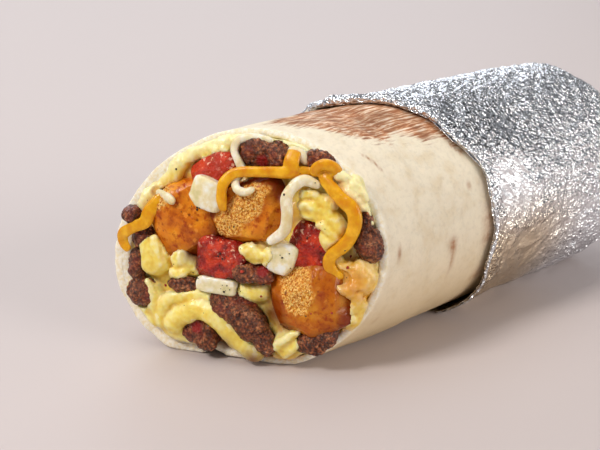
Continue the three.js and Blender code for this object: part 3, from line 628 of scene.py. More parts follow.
# Thinner folds and crumbs of egg that lie on the larger ones.
SMALL_CURDS = (
    (3.4, 2.6, [(-17.6, -5.4, 3.2), (-15.6, -4.4, 3.6), (-13.8, -3.0, 3.0)]),
    (3.0, 2.4, [(-18.0, -8.8, 3.2), (-15.4, -8.0, 3.6), (-13.0, -7.4, 3.2)]),
    (2.2, 2.2, [(-22.6, 0.6, 3.4), (-21.2, -3.2, 4.2), (-20.2, -7.2, 4.0)]),
    (2.8, 2.4, [(-0.6, -1.2, 4.2), (1.6, 0.2, 4.4), (4.4, 0.2, 4.2)]),
    (2.6, 2.2, [(5.6, -3.6, 3.4), (6.8, -1.6, 4.0), (5.4, 0.6, 4.2)]),
    (2.2, 2.0, [(12.6, 13.6, 3.8), (14.8, 14.6, 4.6), (17.6, 14.0, 4.4)]),
    (2.0, 1.8, [(12.2, 11.4, 3.6), (15.2, 11.6, 4.8), (18.2, 11.0, 4.6), (20.6, 10.4, 4.0)]),
    (2.4, 2.0, [(17.2, 8.2, 4.4), (19.6, 7.2, 5.0), (21.6, 5.6, 4.6), (22.8, 3.4, 3.6)]),
    (1.9, 1.8, [(20.4, 18.4, 3.4), (22.2, 19.2, 3.8), (24.2, 18.4, 3.2)]),
    (1.9, 1.8, [(23.8, 17.0, 3.6), (25.6, 17.4, 3.4), (27.2, 15.8, 2.8), (27.8, 13.6, 2.2)]),
    (1.9, 1.8, [(22.6, 16.2, 3.8), (24.4, 15.4, 4.2), (26.0, 13.8, 3.4), (27.4, 11.4, 2.4)]),
    (1.6, 1.6, [(26.8, 13.8, 2.0), (28.6, 11.0, 1.8), (29.6, 8.0, 1.2)]),
    (2.6, 2.4, [(24.6, -7.0, 3.4), (26.6, -5.6, 3.8), (28.2, -3.4, 2.6)]),
    (2.4, 2.2, [(26.0, -12.6, 2.6), (27.6, -9.4, 2.8), (27.2, -6.6, 3.2)]),
    (2.0, 1.8, [(8.8, -23.2, 3.0), (10.6, -21.0, 4.0), (13.0, -19.0, 4.2), (15.6, -17.2, 3.4)]),
    (1.8, 1.6, [(10.6, -25.2, 1.8), (12.8, -23.0, 3.2), (15.4, -20.4, 3.6)]),
    (2.4, 1.8, [(-12.6, 19.6, 1.2), (-9.0, 21.4, 1.6), (-5.2, 22.6, 1.8)]),
    (2.6, 2.0, [(6.4, 24.4, 1.0), (11.4, 23.6, 1.4), (16.2, 21.2, 1.2)]),
    (2.4, 2.2, [(-24.6, 10.6, 1.8), (-26.0, 7.4, 2.0), (-27.4, 2.6, 1.2)]),
    (2.0, 1.8, [(-24.2, -10.4, 2.8), (-22.6, -13.4, 3.0), (-21.8, -16.8, 2.2)]),
    (3.0, 2.6, [(22.2, -4.8, 3.2), (24.6, -6.8, 3.8), (27.4, -7.6, 2.8)]),
    (3.4, 3.0, [(21.6, 0.6, 2.4), (23.6, -1.8, 2.8), (26.4, -1.6, 2.2)]),
    (2.6, 2.4, [(26.8, 0.4, 1.8), (28.4, -2.4, 1.6), (28.2, -5.8, 1.6)]),
)

# Curds that stay smooth, by their place in the first list. The first of them lies over the sausage.
SLEEK = (0, 1, 2, 5, 6, 8, 9, 10)
# Curds along the sheet's inner side: from and to which angle round the roll, width, thickness and how proud.
RIM_CURDS = (
    (4, 40, 3.4, 3.4, 0.8), (36, 66, 3.6, 3.4, 0.9), (-34, 6, 3.2, 3.2, 1.0), (-62, -30, 3.0, 3.0, 0.6),
    (58, 84, 2.6, 2.6, 0.5), (112, 142, 3.8, 3.4, 1.2), (138, 160, 3.4, 3.0, 0.7), (-128, -96, 3.0, 2.8, 0.6),
    (-160, -126, 2.6, 2.6, 0.4),
)
# Where the bed of egg is painted dark brown, as shade between the pieces: places on the face and how far each spreads.
GAP_SHADE_SPOTS = ((7.4, -15.4, 3.6), (-4, -25, 3.4), (4, -26.4, 2.6), (-12.4, -2.4, 2.4), (-2, 3.6, 2.4))
# How far the bed of egg stands out between the pieces, at the middle of the cut.
BED_RISE = 2.9


class BurritoSizes(bpy.types.PropertyGroup):
    """Sizes of the finish."""

    sheet_step: FloatProperty(
        name="Tortilla step", description="Degrees of roll between the tortilla's mesh lines", default=1.2, min=0.8)
    rim_ragged: FloatProperty(
        name="Ragged rim", description="How far the cut rim goes in and out, in mm", default=0.5, min=0)
    blisters: FloatProperty(
        name="Blisters", description="Height of the tortilla's low blisters, in mm", default=0.16, min=0)
    foil_relief: FloatProperty(
        name="Foil crumple", description="Height of the foil's creases, in mm", default=1.25, min=0)
    foil_spokes: IntProperty(
        name="Foil spokes", description="Mesh lines round the foil", default=440, min=48)
    egg_voxel: FloatProperty(
        name="Egg voxel", description="Size of the egg's fused mesh, in mm", default=0.42, min=0.3)
    sausage_voxel: FloatProperty(
        name="Sausage voxel", description="Size of the sausage's fused mesh, in mm", default=0.26, min=0.2)
    crumbs: IntProperty(
        name="Sandy crumbs", description="Grains of coating on each potato", default=420, min=0)
    pepper: IntProperty(
        name="Pepper specks", description="Specks of pepper over the filling", default=34, min=0)


def colour_property(title, text, code):
    """A colour that a user would change, with its default as a hex code."""
    return FloatVectorProperty(name=title, description=text, subtype="COLOR", size=4, min=0, max=1, default=linear(code))


class BurritoColours(bpy.types.PropertyGroup):
    """Colours of the finish."""

    tortilla: colour_property("Tortilla", "Baked flour", "#EADFC8")
    toasted: colour_property("Toasted", "Where the griddle browned the tortilla", "#98552B")
    egg: colour_property("Egg", "Scrambled egg", "#F5E06C")
    potato: colour_property("Potato", "Fried and seasoned potato", "#CF7110")
    tomato: colour_property("Tomato", "Ripe tomato flesh", "#A01204")
    sausage: colour_property("Sausage", "Fried minced sausage", "#6E3417")
    onion: colour_property("Onion", "Soft diced onion", "#F0E0B4")
    white_cheese: colour_property("White cheese", "Half melted white shreds", "#E8DCB8")
    cheddar: colour_property("Orange cheese", "Half melted orange shreds", "#E09E05")
    foil: colour_property("Foil", "Bright aluminium foil", "#F1F3F7")
    floor: colour_property("Floor", "Plain pale floor", "#C8BDBB")


def coords_of(tree):
    """Object coordinates, which are the part's own, in metres."""
    return add(tree, "ShaderNodeTexCoord").outputs["Object"]


def noise_of(tree, pitch, detail=3.0, vector=None, rough=0.55):
    """Even noise whose grains are about the pitch in millimetres."""
    vector = coords_of(tree) if vector is None else vector
    scale = 1 / (pitch * MM)
    return add(tree, "ShaderNodeTexNoise", {"Vector": vector, "Scale": scale, "Detail": detail, "Roughness": rough})


def ramp_of(tree, value, stops):
    """A colour ramp over a value."""
    return add(tree, "ShaderNodeValToRGB", {"Fac": value}, stops).outputs["Color"]


def mixed(tree, share, first, second, blend="MIX"):
    """One colour over another by a share."""
    inputs = {FACTOR: share, COLOUR_A: first, COLOUR_B: second}
    return add(tree, "ShaderNodeMix", inputs, data_type="RGBA", blend_type=blend).outputs[MIXED]


def reckon(tree, operation, first, second=0.5, clamp=False):
    """One sum on two values."""
    return add(tree, "ShaderNodeMath", {0: first, 1: second}, operation=operation, use_clamp=clamp).outputs[0]


def mask_of(tree, name):
    """A mask that the mesh carries."""
    return add(tree, "ShaderNodeAttribute", attribute_name=name).outputs["Fac"]


def bumped(tree, shader, height, deep, under=None):
    """Relief from a height, with a full depth in millimetres."""
    inputs = {"Height": height, "Distance": deep * MM, "Strength": 1.0}
    if under is not None:
        inputs["Normal"] = under
    made = add(tree, "ShaderNodeBump", inputs).outputs["Normal"]
    tree.links.new(made, shader.inputs["Normal"])
    tree.links.new(made, shader.inputs["Coat Normal"])
    return made


def darker(colour, share):
    """A colour with its light scaled."""
    return (*[min(1.0, c * share) for c in colour[:3]], 1.0)


def mixed_colour(first, second, share):
    """A colour between two."""
    return (*[a + (b - a) * share for a, b in zip(first[:3], second[:3])], 1.0)


def baked_flour(colours):
    """Griddled flour tortilla: matt, floury and pale, with freckled brown where it touched the hot plate, painted
    shade, darker tan, towards the bottom of the roll, and a brown line along the foil's edge that is partly browning
    and partly the foil's painted shadow.
    """
    material, tree, shader = new_material(
        "griddled_flour_tortilla", roughness=0.82, specular_ior_level=0.3, subsurface_weight=0.12,
        subsurface_radius=(0.004, 0.003, 0.002), subsurface_scale=0.5)
    sheet = sheet_mm(tree)
    base = tuple(colours.tortilla)
    mottle = ramp_of(tree, noise_of(tree, 4.5, 4).outputs["Fac"], [
        (0.32, mixed_colour(base, linear("#D8C29A"), 0.4)), (0.5, base), (0.7, darker(base, 1.06))])
    freckle = ramp_of(tree, noise_of(tree, 1.1, 2).outputs["Fac"], [(0.34, grey(0.93)), (0.5, grey(1.0))])
    pale = mixed(tree, 1.0, mottle, freckle, "MULTIPLY")
    # Painted shade: the sheet is painted darker tan towards the bottom of the roll.
    low = mixed(tree, mask_of(tree, "lower"), pale, linear("#D2B88C"))
    crumb = ramp_of(tree, noise_of(tree, 0.8, 3).outputs["Fac"], [(0.35, linear("#F1E2BC")), (0.6, linear("#FCF8EC"))])
    stained = mixed(tree, mask_of(tree, "cut"), low, crumb)
    stretched = add(tree, "ShaderNodeMapping", {"Vector": sheet, "Scale": (0.17, 1.7, 1.0)}).outputs["Vector"]
    streaks = add(tree, "ShaderNodeTexNoise", {
        "Vector": stretched, "Scale": 1.0, "Detail": 4.0, "Roughness": 0.6, "Distortion": 0.5})
    brown = tuple(colours.toasted)
    griddled = ramp_of(tree, streaks.outputs["Fac"], [
        (0.30, darker(brown, 0.7)), (0.43, brown), (0.50, linear("#B47A52")), (0.555, linear("#D2A987")),
        (0.63, linear("#ECD6C2"))])
    broad = add(tree, "ShaderNodeTexNoise", {"Vector": sheet, "Scale": 0.13, "Detail": 3.0})
    uneven = ramp_of(tree, broad.outputs["Fac"], [(0.38, grey(0.78)), (0.5, grey(1.0)), (0.62, grey(1.22))])
    griddled = mixed(tree, 1.0, griddled, uneven, "MULTIPLY")
    ragged = reckon(tree, "MULTIPLY", reckon(tree, "SUBTRACT", 0.5, streaks.outputs["Fac"]), 1.6)
    patch = reckon(tree, "ADD", mask_of(tree, "toast"), ragged)
    patch = reckon(tree, "ADD", patch, reckon(tree, "SUBTRACT", 0.5, broad.outputs["Fac"]))
    share = ramp_of(tree, patch, [(0.2, grey(0.0)), (0.7, grey(0.92))])
    share = reckon(tree, "MINIMUM", share, reckon(tree, "MULTIPLY", mask_of(tree, "toast"), 5.0))
    toasted = mixed(tree, share, stained, griddled)
    # Brown toasted spots, and along the foil's edge a brown line that is partly browning and partly the foil's painted
    # shadow.
    toast_spots_and_foil_shadow = reckon(tree, "MULTIPLY", mask_of(tree, "spots"), ramp_of(tree, noise_of(tree, 0.9, 3).outputs["Fac"], [
        (0.3, grey(1.0)), (0.7, grey(0.55))]))
    spotted = mixed(tree, toast_spots_and_foil_shadow, toasted, linear("#9C6236"))
    tree.links.new(spotted, shader.inputs["Base Color"])
    fine = bumped(tree, shader, noise_of(tree, 0.7, 4).outputs["Fac"], 0.10)
    wrinkle = reckon(tree, "MULTIPLY", streaks.outputs["Fac"], mask_of(tree, "toast"))
    bumped(tree, shader, wrinkle, 0.3, fine)
    return material


def crumpled_foil(colours):
    """Rolled aluminium foil, crumpled by hand: bright facets with sharp creases, each mirroring another way, with
    painted shade and dark reflections as dark specks near the front edge, and a painted warm reflection of the table on
    the near underside.
    """
    material, tree, shader = new_material(
        "crumpled_aluminium_foil", base_color=tuple(colours.foil), metallic=1.0, roughness=0.2)
    coords = coords_of(tree)
    warp = noise_of(tree, 3.0, 2, coords)
    bent = add(tree, "ShaderNodeMix", {FACTOR: 0.0016, 4: coords, 5: warp.outputs["Color"]}, data_type="VECTOR")
    facets = add(tree, "ShaderNodeTexVoronoi", {"Vector": bent.outputs[1], "Scale": 1 / (1.8 * MM)}, feature="F2")
    smaller = add(tree, "ShaderNodeTexVoronoi", {"Vector": bent.outputs[1], "Scale": 1 / (0.75 * MM)})
    # Painted reflection: a warm tan tint on the near underside stands for the table mirrored in the foil.
    tint = mixed(tree, mask_of(tree, "painted_warm_reflection"), tuple(colours.foil), linear("#CDB48C"))
    # Painted shade and dark reflections: dark specks in the crinkles near the front edge.
    speck = noise_of(tree, 0.9, 4, rough=0.7).outputs["Fac"]
    dark = ramp_of(tree, speck, [(0.38, grey(0.05)), (0.46, grey(0.45)), (0.52, grey(1.0))])
    crinkle_shaded_tint = mixed(tree, mask_of(tree, "painted_crinkle_shade"), tint, mixed(tree, 1.0, tint, dark, "MULTIPLY"))
    tree.links.new(crinkle_shaded_tint, shader.inputs["Base Color"])
    rough = ramp_of(tree, noise_of(tree, 6, 3).outputs["Fac"], [(0.35, grey(0.12)), (0.65, grey(0.24))])
    softer = reckon(tree, "ADD", rough, reckon(tree, "MULTIPLY", mask_of(tree, "calm"), 0.2))
    tree.links.new(softer, shader.inputs["Roughness"])
    calm = reckon(tree, "SUBTRACT", 1.0, mask_of(tree, "calm"), True)
    first = bumped(tree, shader, reckon(tree, "MULTIPLY", facets.outputs["Distance"], calm), 0.9)
    bumped(tree, shader, reckon(tree, "MULTIPLY", smaller.outputs["Distance"], calm), 0.4, first)
    return material


def soft_egg(colours):
    """Scrambled egg: moist and satin, with a painted highlight on its folds and painted shade, deeper yellow to
    orange-brown, in its hollows; paler where it faces up, a painted highlight; oily and orange near the potatoes and
    low down; painted dark brown shade between the pieces.
    """
    material, tree, shader = new_material(
        "soft_scrambled_egg", roughness=0.34, subsurface_weight=0.3, subsurface_radius=(0.004, 0.0028, 0.0008),
        subsurface_scale=0.5, coat_weight=0.2, coat_roughness=0.15)
    base = tuple(colours.egg)
    curve = add(tree, "ShaderNodeNewGeometry").outputs["Pointiness"]
    # Painted shade and highlight from the mesh's curvature: orange-brown in the hollows, near-white on the folds.
    folds = ramp_of(tree, curve, [
        (0.43, linear("#A86A10")), (0.475, linear("#DCA824")), (0.51, base), (0.545, linear("#FDF7D0"))])
    patches = ramp_of(tree, noise_of(tree, 5.5, 3).outputs["Fac"], [
        (0.35, linear("#E6B828")), (0.5, linear("#F3D854")), (0.64, linear("#FBF1A8"))])
    yolky = mixed(tree, 0.45, folds, patches)
    # Paler where the egg faces up, a painted highlight, and along the top rim.
    pale = mixed(tree, mask_of(tree, "pale"), yolky, linear("#F8F1BC"))
    oily = mixed(tree, mask_of(tree, "oil"), pale, linear("#D98A1E"))
    # Painted shade: dark brown in the gaps between the pieces.
    gap_shaded = mixed(tree, mask_of(tree, "painted_gap_shade"), oily, linear("#6E2A0C"))
    tree.links.new(gap_shaded, shader.inputs["Base Color"])
    fine = bumped(tree, shader, noise_of(tree, 0.9, 3).outputs["Fac"], 0.16)
    bumped(tree, shader, noise_of(tree, 2.6, 3).outputs["Fac"], 0.35, fine)
    return material


def fried_potato(colours):
    """Fried, seasoned potato: a glossy orange skin of oil, sandy golden grit on some faces, sharp edges painted paler,
    partly oil and partly a painted highlight, and red-brown painted shade on its shaded sides.
    """
    material, tree, shader = new_material(
        "fried_seasoned_potato", subsurface_weight=0.25, subsurface_radius=(0.006, 0.0016, 0.0003),
        subsurface_scale=0.5, coat_weight=0.1, coat_roughness=0.2, specular_ior_level=0.22)
    base = tuple(colours.potato)
    patches = ramp_of(tree, noise_of(tree, 4.5, 4).outputs["Fac"], [
        (0.3, linear("#A03A06")), (0.45, base), (0.6, linear("#E08C1A")), (0.72, linear("#F0AA34"))])
    # Sharp edges painted paler: partly the film of oil, partly a painted highlight.
    edges = ramp_of(tree, add(tree, "ShaderNodeNewGeometry").outputs["Pointiness"], [
        (0.47, grey(0.0)), (0.51, grey(0.12)), (0.56, grey(0.7))])
    lit = mixed(tree, edges, patches, linear("#EE9E34"))
    blotch = ramp_of(tree, noise_of(tree, 1.3, 4).outputs["Fac"], [
        (0.32, linear("#C88A6A")), (0.5, linear("#FFFFFF")), (0.7, linear("#FFF4DC"))])
    lit = mixed(tree, 1.0, lit, blotch, "MULTIPLY")
    # Painted shade: red-brown towards the shaded sides.
    deep = mixed(tree, mask_of(tree, "shade"), lit, linear("#742004"))
    grit = ramp_of(tree, noise_of(tree, 0.55, 2).outputs["Fac"], [
        (0.4, linear("#B86414")), (0.5, linear("#E59A2C")), (0.6, linear("#F8CE74"))])
    sandy = mixed(tree, mask_of(tree, "sand"), deep, grit)
    specks = add(tree, "ShaderNodeTexVoronoi", {"Vector": coords_of(tree), "Scale": 1 / (3.2 * MM)})
    dots = ramp_of(tree, specks.outputs["Distance"], [(0.10, grey(0.75)), (0.14, grey(0.0))])
    dotted = mixed(tree, dots, sandy, linear("#6A2410"))
    tree.links.new(dotted, shader.inputs["Base Color"])
    matt = ramp_of(tree, mask_of(tree, "sand"), [(0.0, grey(0.24)), (1.0, grey(0.6))])
    tree.links.new(matt, shader.inputs["Roughness"])
    fine = bumped(tree, shader, noise_of(tree, 0.6, 3).outputs["Fac"], 0.07)
    bumped(tree, shader, noise_of(tree, 2.2, 3).outputs["Fac"], 0.25, fine)
    return material


def wet_tomato(colours):
    """Diced tomato: clear red flesh under a wet film that glints; pale flecks painted on its upper side stand for
    glints, and the upper dice is painted lighter orange as painted light.
    """
    material, tree, shader = new_material(
        "wet_diced_tomato", roughness=0.3, subsurface_weight=0.2, subsurface_radius=(0.004, 0.0005, 0.0002),
        subsurface_scale=0.5, coat_weight=0.8, coat_roughness=0.03, ior=1.4, specular_ior_level=0.2)
    base = tuple(colours.tomato)
    flesh = ramp_of(tree, noise_of(tree, 3.0, 4).outputs["Fac"], [
        (0.34, linear("#5E0804")), (0.5, base), (0.62, linear("#CE360E"))])
    veins = ramp_of(tree, noise_of(tree, 0.9, 2).outputs["Fac"], [(0.6, grey(0.0)), (0.72, grey(0.5))])
    flesh = mixed(tree, veins, flesh, linear("#D8461E"))
    # Painted light: the upper dice is painted lighter orange, as it faces the light.
    flesh = mixed(tree, mask_of(tree, "painted_light_upper"), flesh, linear("#D63A10"))
    # Painted highlights: pale flecks on the upper side stand for glints.
    painted_glint_flecks = ramp_of(tree, noise_of(tree, 0.95, 3).outputs["Fac"], [(0.58, grey(0.0)), (0.63, grey(1.0))])
    painted_glint_flecks = reckon(tree, "MULTIPLY", painted_glint_flecks, mask_of(tree, "wet"))
    tree.links.new(mixed(tree, painted_glint_flecks, flesh, linear("#F6C2A6")), shader.inputs["Base Color"])
    fine = bumped(tree, shader, noise_of(tree, 0.6, 2).outputs["Fac"], 0.5)
    under = bumped(tree, shader, noise_of(tree, 1.8, 3).outputs["Fac"], 0.8, fine)
    drops = {"Height": noise_of(tree, 0.8, 1).outputs["Fac"], "Distance": 1.6 * MM, "Strength": 1.0, "Normal": under}
    tree.links.new(add(tree, "ShaderNodeBump", drops).outputs["Normal"], shader.inputs["Coat Normal"])
    return material


def fried_sausage(colours):
    """Fried minced sausage: grains of meat painted lighter on their tops and darker in the gaps between them as painted
    highlight and shade, random patches whose lightest stand partly for a painted sheen, and points of fat that glint.
    """
    material, tree, shader = new_material(
        "fried_minced_sausage", roughness=0.42, coat_weight=0.5, coat_roughness=0.07, specular_ior_level=0.22)
    base = tuple(colours.sausage)
    curve = add(tree, "ShaderNodeNewGeometry").outputs["Pointiness"]
    # Painted shade and highlight from the mesh's curvature: dark in the gaps between grains, light tan on their tops.
    relief = ramp_of(tree, curve, [
        (0.42, darker(base, 0.2)), (0.48, darker(base, 0.65)), (0.52, base), (0.57, linear("#B07448"))])
    # Random tone; its lightest patches partly stand for a painted sheen.
    patches = ramp_of(tree, noise_of(tree, 1.6, 4).outputs["Fac"], [
        (0.34, linear("#2C1208")), (0.47, linear("#602C16")), (0.56, linear("#8E4E2A")), (0.66, linear("#BE8054"))])
    crumb = ramp_of(tree, noise_of(tree, 0.55, 2).outputs["Fac"], [(0.36, grey(0.3)), (0.5, grey(0.82)), (0.63, grey(1.7))])
    meat = mixed(tree, 1.0, mixed(tree, 0.5, relief, patches), crumb, "MULTIPLY")
    red = mixed(tree, mask_of(tree, "red"), meat, linear("#8E1612"))
    tree.links.new(red, shader.inputs["Base Color"])
    under = bumped(tree, shader, noise_of(tree, 0.6, 3).outputs["Fac"], 0.5)
    grease = {"Height": noise_of(tree, 0.9, 1).outputs["Fac"], "Distance": 1.2 * MM, "Strength": 1.0, "Normal": under}
    tree.links.new(add(tree, "ShaderNodeBump", grease).outputs["Normal"], shader.inputs["Coat Normal"])
    return material


def soft_onion(colours):
    """Diced onion, cooked soft: milky, a little clear, with faint layers and a wet shine."""
    material, tree, shader = new_material(
        "soft_diced_onion", roughness=0.26, subsurface_weight=0.5, subsurface_radius=(0.008, 0.007, 0.004),
        subsurface_scale=0.6, coat_weight=0.4, coat_roughness=0.12)
    base = tuple(colours.onion)
    tint = ramp_of(tree, noise_of(tree, 2.6, 3).outputs["Fac"], [
        (0.32, linear("#D9CE96")), (0.5, base), (0.66, linear("#FBF8E8"))])
    tree.links.new(tint, shader.inputs["Base Color"])
    bumped(tree, shader, noise_of(tree, 1.3, 3).outputs["Fac"], 0.18)
    return material


def melted_cheese(name, colour, deep, pale, see_through=0.4):
    """Half melted cheese shred: smooth, soft edged and satin, with a little light going through it."""
    material, tree, shader = new_material(
        name, roughness=0.34, subsurface_weight=see_through, subsurface_radius=(0.004, 0.0025, 0.0008),
        subsurface_scale=0.5, coat_weight=0.3, coat_roughness=0.1, specular_ior_level=0.25)
    tint = ramp_of(tree, noise_of(tree, 2.4, 3).outputs["Fac"], [
        (0.32, linear(deep)), (0.5, tuple(colour)), (0.68, linear(pale))])
    tree.links.new(tint, shader.inputs["Base Color"])
    bumped(tree, shader, noise_of(tree, 1.1, 3).outputs["Fac"], 0.16)
    return material


def speckled(name, dark, light, roughness, pitch=0.5):
    """Small dry grains: two close tones from grain to grain."""
    material, tree, shader = new_material(name, roughness=roughness)
    tint = ramp_of(tree, noise_of(tree, pitch, 1).outputs["Fac"], [(0.4, linear(dark)), (0.6, linear(light))])
    tree.links.new(tint, shader.inputs["Base Color"])
    bumped(tree, shader, noise_of(tree, 0.3, 2).outputs["Fac"], 0.05)
    return material


def sheet_mm(tree):
    """Places on the unrolled sheet, in millimetres: behind the cut, round the roll and into the sheet."""
    return add(tree, "ShaderNodeAttribute", attribute_name="roll").outputs["Vector"]


def near_spot(t, degrees, spot):
    """A soft oval mark: a bell over its place behind the cut and its angle round the roll."""
    at, turn, along, round_it, strength = spot
    across = (degrees - turn) * math.radians(1) * MEAN_RADIUS / round_it
    return strength * np.exp(-(((t - at) / along) ** 2) - across ** 2)


def toast_mask(t, degrees, place):
    """Millimetres inside the browned patch's outline, made ragged by noise and eased to a mask."""
    low = np.interp(t, *np.transpose(PATCH_LOW))
    high = np.interp(t, *np.transpose(PATCH_HIGH))
    inside = np.minimum(degrees - low, high - degrees) * math.radians(1) * MEAN_RADIUS
    inside = np.minimum(inside, (t - PATCH_START) * 0.6) + 1.6 * cloud(place, 61, 6.0)
    mask = smooth(inside, -2.6, 4.6)
    for patch in FAR_PATCHES:
        mask = np.maximum(mask, near_spot(t, degrees, patch))
    return mask


def tortilla_surface(sizes):
    """The rolled sheet. Its profile runs in along the outer side, round the cut rim and back along the inner
    side. It is carried round a spiral whose outer layer dives under its own edge."""
    steps = int(SHEET_TURNS / sizes.sheet_step)
    turn = np.linspace(0, SHEET_TURNS, steps)[:, None]
    rim = np.radians([12, 34, 56, 78])
    ease = 0.6
    side = np.concatenate([np.linspace(TORTILLA_END, 52, 20), np.linspace(52, ease, 64)[1:]])
    half_t = np.concatenate([side, ease * (1 - np.sin(rim))])
    half_d = np.concatenate([side * 0, SHEET_THICKNESS / 2 * (1 - np.cos(rim))])
    t = np.concatenate([half_t, half_t[::-1]])[None]
    depth = np.concatenate([half_d, SHEET_THICKNESS - half_d[::-1]])[None]
    over = smooth(turn, 2, 6) * (1 - smooth(turn, SHEET_TURNS - 362, SHEET_TURNS - 356))
    under = smooth(turn, 352, 362)
    inner_side = depth > SHEET_THICKNESS / 2
    t = np.where(t < ease, t * (1 - over * inner_side) * (1 - under * ~inner_side), t)
    edge = np.minimum(turn, SHEET_TURNS - turn)
    thin = 0.3 + 0.7 * smooth(edge, 0, 2.4)
    depth = SHEET_THICKNESS / 2 + (depth - SHEET_THICKNESS / 2) * thin
    depth = depth + (CLEARANCE + 0.1) * over * inner_side * np.exp(-t / 20)
    arc = np.radians(turn) * MEAN_RADIUS
    flat = np.stack(np.broadcast_arrays(t, arc, 0 * t), -1)
    angle = np.radians(OUTER_EDGE - turn) + 0 * t
    ring = np.stack([t + 0 * angle, MEAN_RADIUS * np.sin(angle), MEAN_RADIUS * np.cos(angle)], -1)
    torn = cloud(ring, 41, 5.0) + 0.4 * cloud(ring, 42, 1.6) + 0.3 * cloud(flat, 47, 0.9)
    shift = sizes.rim_ragged * torn * np.exp(-t / 2.5)
    degrees = (np.degrees(angle) + 180) % 360 - 180
    outside = (turn < 345) & (depth < SHEET_THICKNESS / 2)
    toast = toast_mask(t, degrees, flat) * outside
    kept = closing(t, 108, 131, 0.05)
    radius = roll_radius(t, angle, 0, tortilla_lift(t)) * kept - LAYER * smooth(turn, 360 - DIVE, 360) - depth
    wrinkles = cloud(flat * (0.16, 1, 1), 44, 1.5) * toast * 0.22
    radius = radius + (sizes.blisters * cloud(flat, 43, 8.0) - 0.1 + wrinkles * outside) * (t < 60)
    points = roll_point(t + np.maximum(shift, -0.25), angle, radius)
    points[..., 2] = np.maximum(points[..., 2], 0.02)
    spots = sum(near_spot(t, degrees, spot) for spot in SPOTS)
    scratch_t, scratch_turn = np.transpose(SCRATCH)
    along = np.interp(degrees, scratch_turn[::-1], scratch_t[::-1])
    length = smooth(degrees, scratch_turn[-1] - 1, scratch_turn[-1] + 1) * (1 - smooth(degrees, -37, -35))
    spots = np.maximum(spots, 0.9 * np.exp(-(((t - along) / 0.45) ** 2)) * length)
    # Along the foil's front edge: a brown line, partly browning and partly the foil's painted shadow.
    foil_line_browned_and_shaded = np.exp(-(((t - foil_edge(angle) + 0.5) / 0.6) ** 2))
    spots = np.maximum(spots, 0.9 * foil_line_browned_and_shaded * smooth(cloud(flat, 46, 4.0), -0.9, 0.2))
    freckles = smooth(cloud(flat, 45, 9.0), 0.62, 0.8) * smooth(np.abs(degrees + 60), 105, 120) * 0.5
    masks = {
        "toast": toast,
        "spots": np.clip(np.maximum(spots, freckles), 0, 1) * outside,
        "cut": np.exp(-((t / 1.1) ** 2)) * 0.85 + 0 * angle,
        # Painted shade, growing towards the bottom of the roll.
        "lower": smooth(-np.cos(angle), -0.3, 0.8) * 0.85,
    }
    masks = {name: np.broadcast_to(mask, points.shape[:2]).ravel() for name, mask in masks.items()}
    masks["roll"] = np.stack(np.broadcast_arrays(t, arc, depth), -1).reshape(-1, 3)
    return sheet_faces(points), masks


def sheet_faces(loops):
    """Closed profiles in a row, joined, with each end closed by strips between its two sides."""
    rows, count = loops.shape[:2]
    pair = np.arange(count // 2 - 1)
    strip = np.stack([pair, pair + 1, count - 2 - pair, count - 1 - pair], 1)
    last = (rows - 1) * count
    quads = np.concatenate([loop_faces(rows, count), strip, strip[:, ::-1] + last])
    return outward(loops.reshape(-1, 3), quads)


def foil_flare(t, angle):
    """How far loose foil stands off at its flares, dying out behind the edge."""
    flare = 0
    for degrees, height, spread in FLARES:
        turn = angle - math.radians(degrees)
        away = np.arctan2(np.sin(turn), np.cos(turn)) / math.radians(spread)
        flare = flare + height * np.exp(-away ** 2)
    return flare * np.exp(-(((t - foil_edge(angle)) / FLARE_LENGTH) ** 2))


def foil_calm(t, angle):
    """Where the foil is pressed smooth: a spot high on the near side, the long folds, and low down."""
    degrees = np.degrees(angle)
    behind = t - foil_edge(angle)
    low = smooth(-degrees, 88, 104) * (1 - smooth(-degrees, 140, 160)) * smooth(behind, 3, 9) * (1 - smooth(t, *WARM_FADE))
    folds = smooth(-degrees, 52, 62) * (1 - smooth(-degrees, 84, 96)) * smooth(behind, 2, 5) * (1 - smooth(behind, 14, 24))
    spot = near_spot(t, degrees, (73, -41, 5, 5, 0.5))
    return np.clip(np.maximum(np.maximum(0.7 * low, 0.55 * folds), spot), 0, 1)


def foil_relief(t, angle):
    """Creases of three sizes, a few long folds, and slanting pleats on the near side: from 0 up, in shares.
    The front edge is pressed flatter."""
    place = np.stack(np.broadcast_arrays(t, MEAN_RADIUS * np.sin(angle), MEAN_RADIUS * np.cos(angle)), -1)
    calm = 1 - foil_calm(t, angle)
    relief = 0.42 * creases(place, 11, 13)
    relief = relief + (0.32 * creases(place, 12, 5.0) + 0.26 * creases(place, 13, 2.2)) * calm
    degrees = np.degrees(angle)
    for offset, slope, height, middle, spread in FOIL_FOLDS:
        away = t - foil_edge(angle) - offset - slope * (degrees - middle) / 10
        window = np.exp(-(((degrees - middle) / spread) ** 2))
        relief = relief + 0.4 * height * np.maximum(0, 1 - np.abs(away) / 1.4) * window
    behind = t - foil_edge(angle)
    across = (behind + 0.5 * (degrees + 60) + 2.2 * cloud(place, 14, 7.0, 2)) / 2.6
    window = np.exp(-(((degrees + 66) / 16) ** 2)) * smooth(behind, 0, 2) * (1 - smooth(behind, 14, 24))
    relief = relief + 0.75 * np.abs(across % 1 * 2 - 1) ** 1.5 * window
    return relief * (0.35 + 0.65 * smooth(behind, 0, 6))


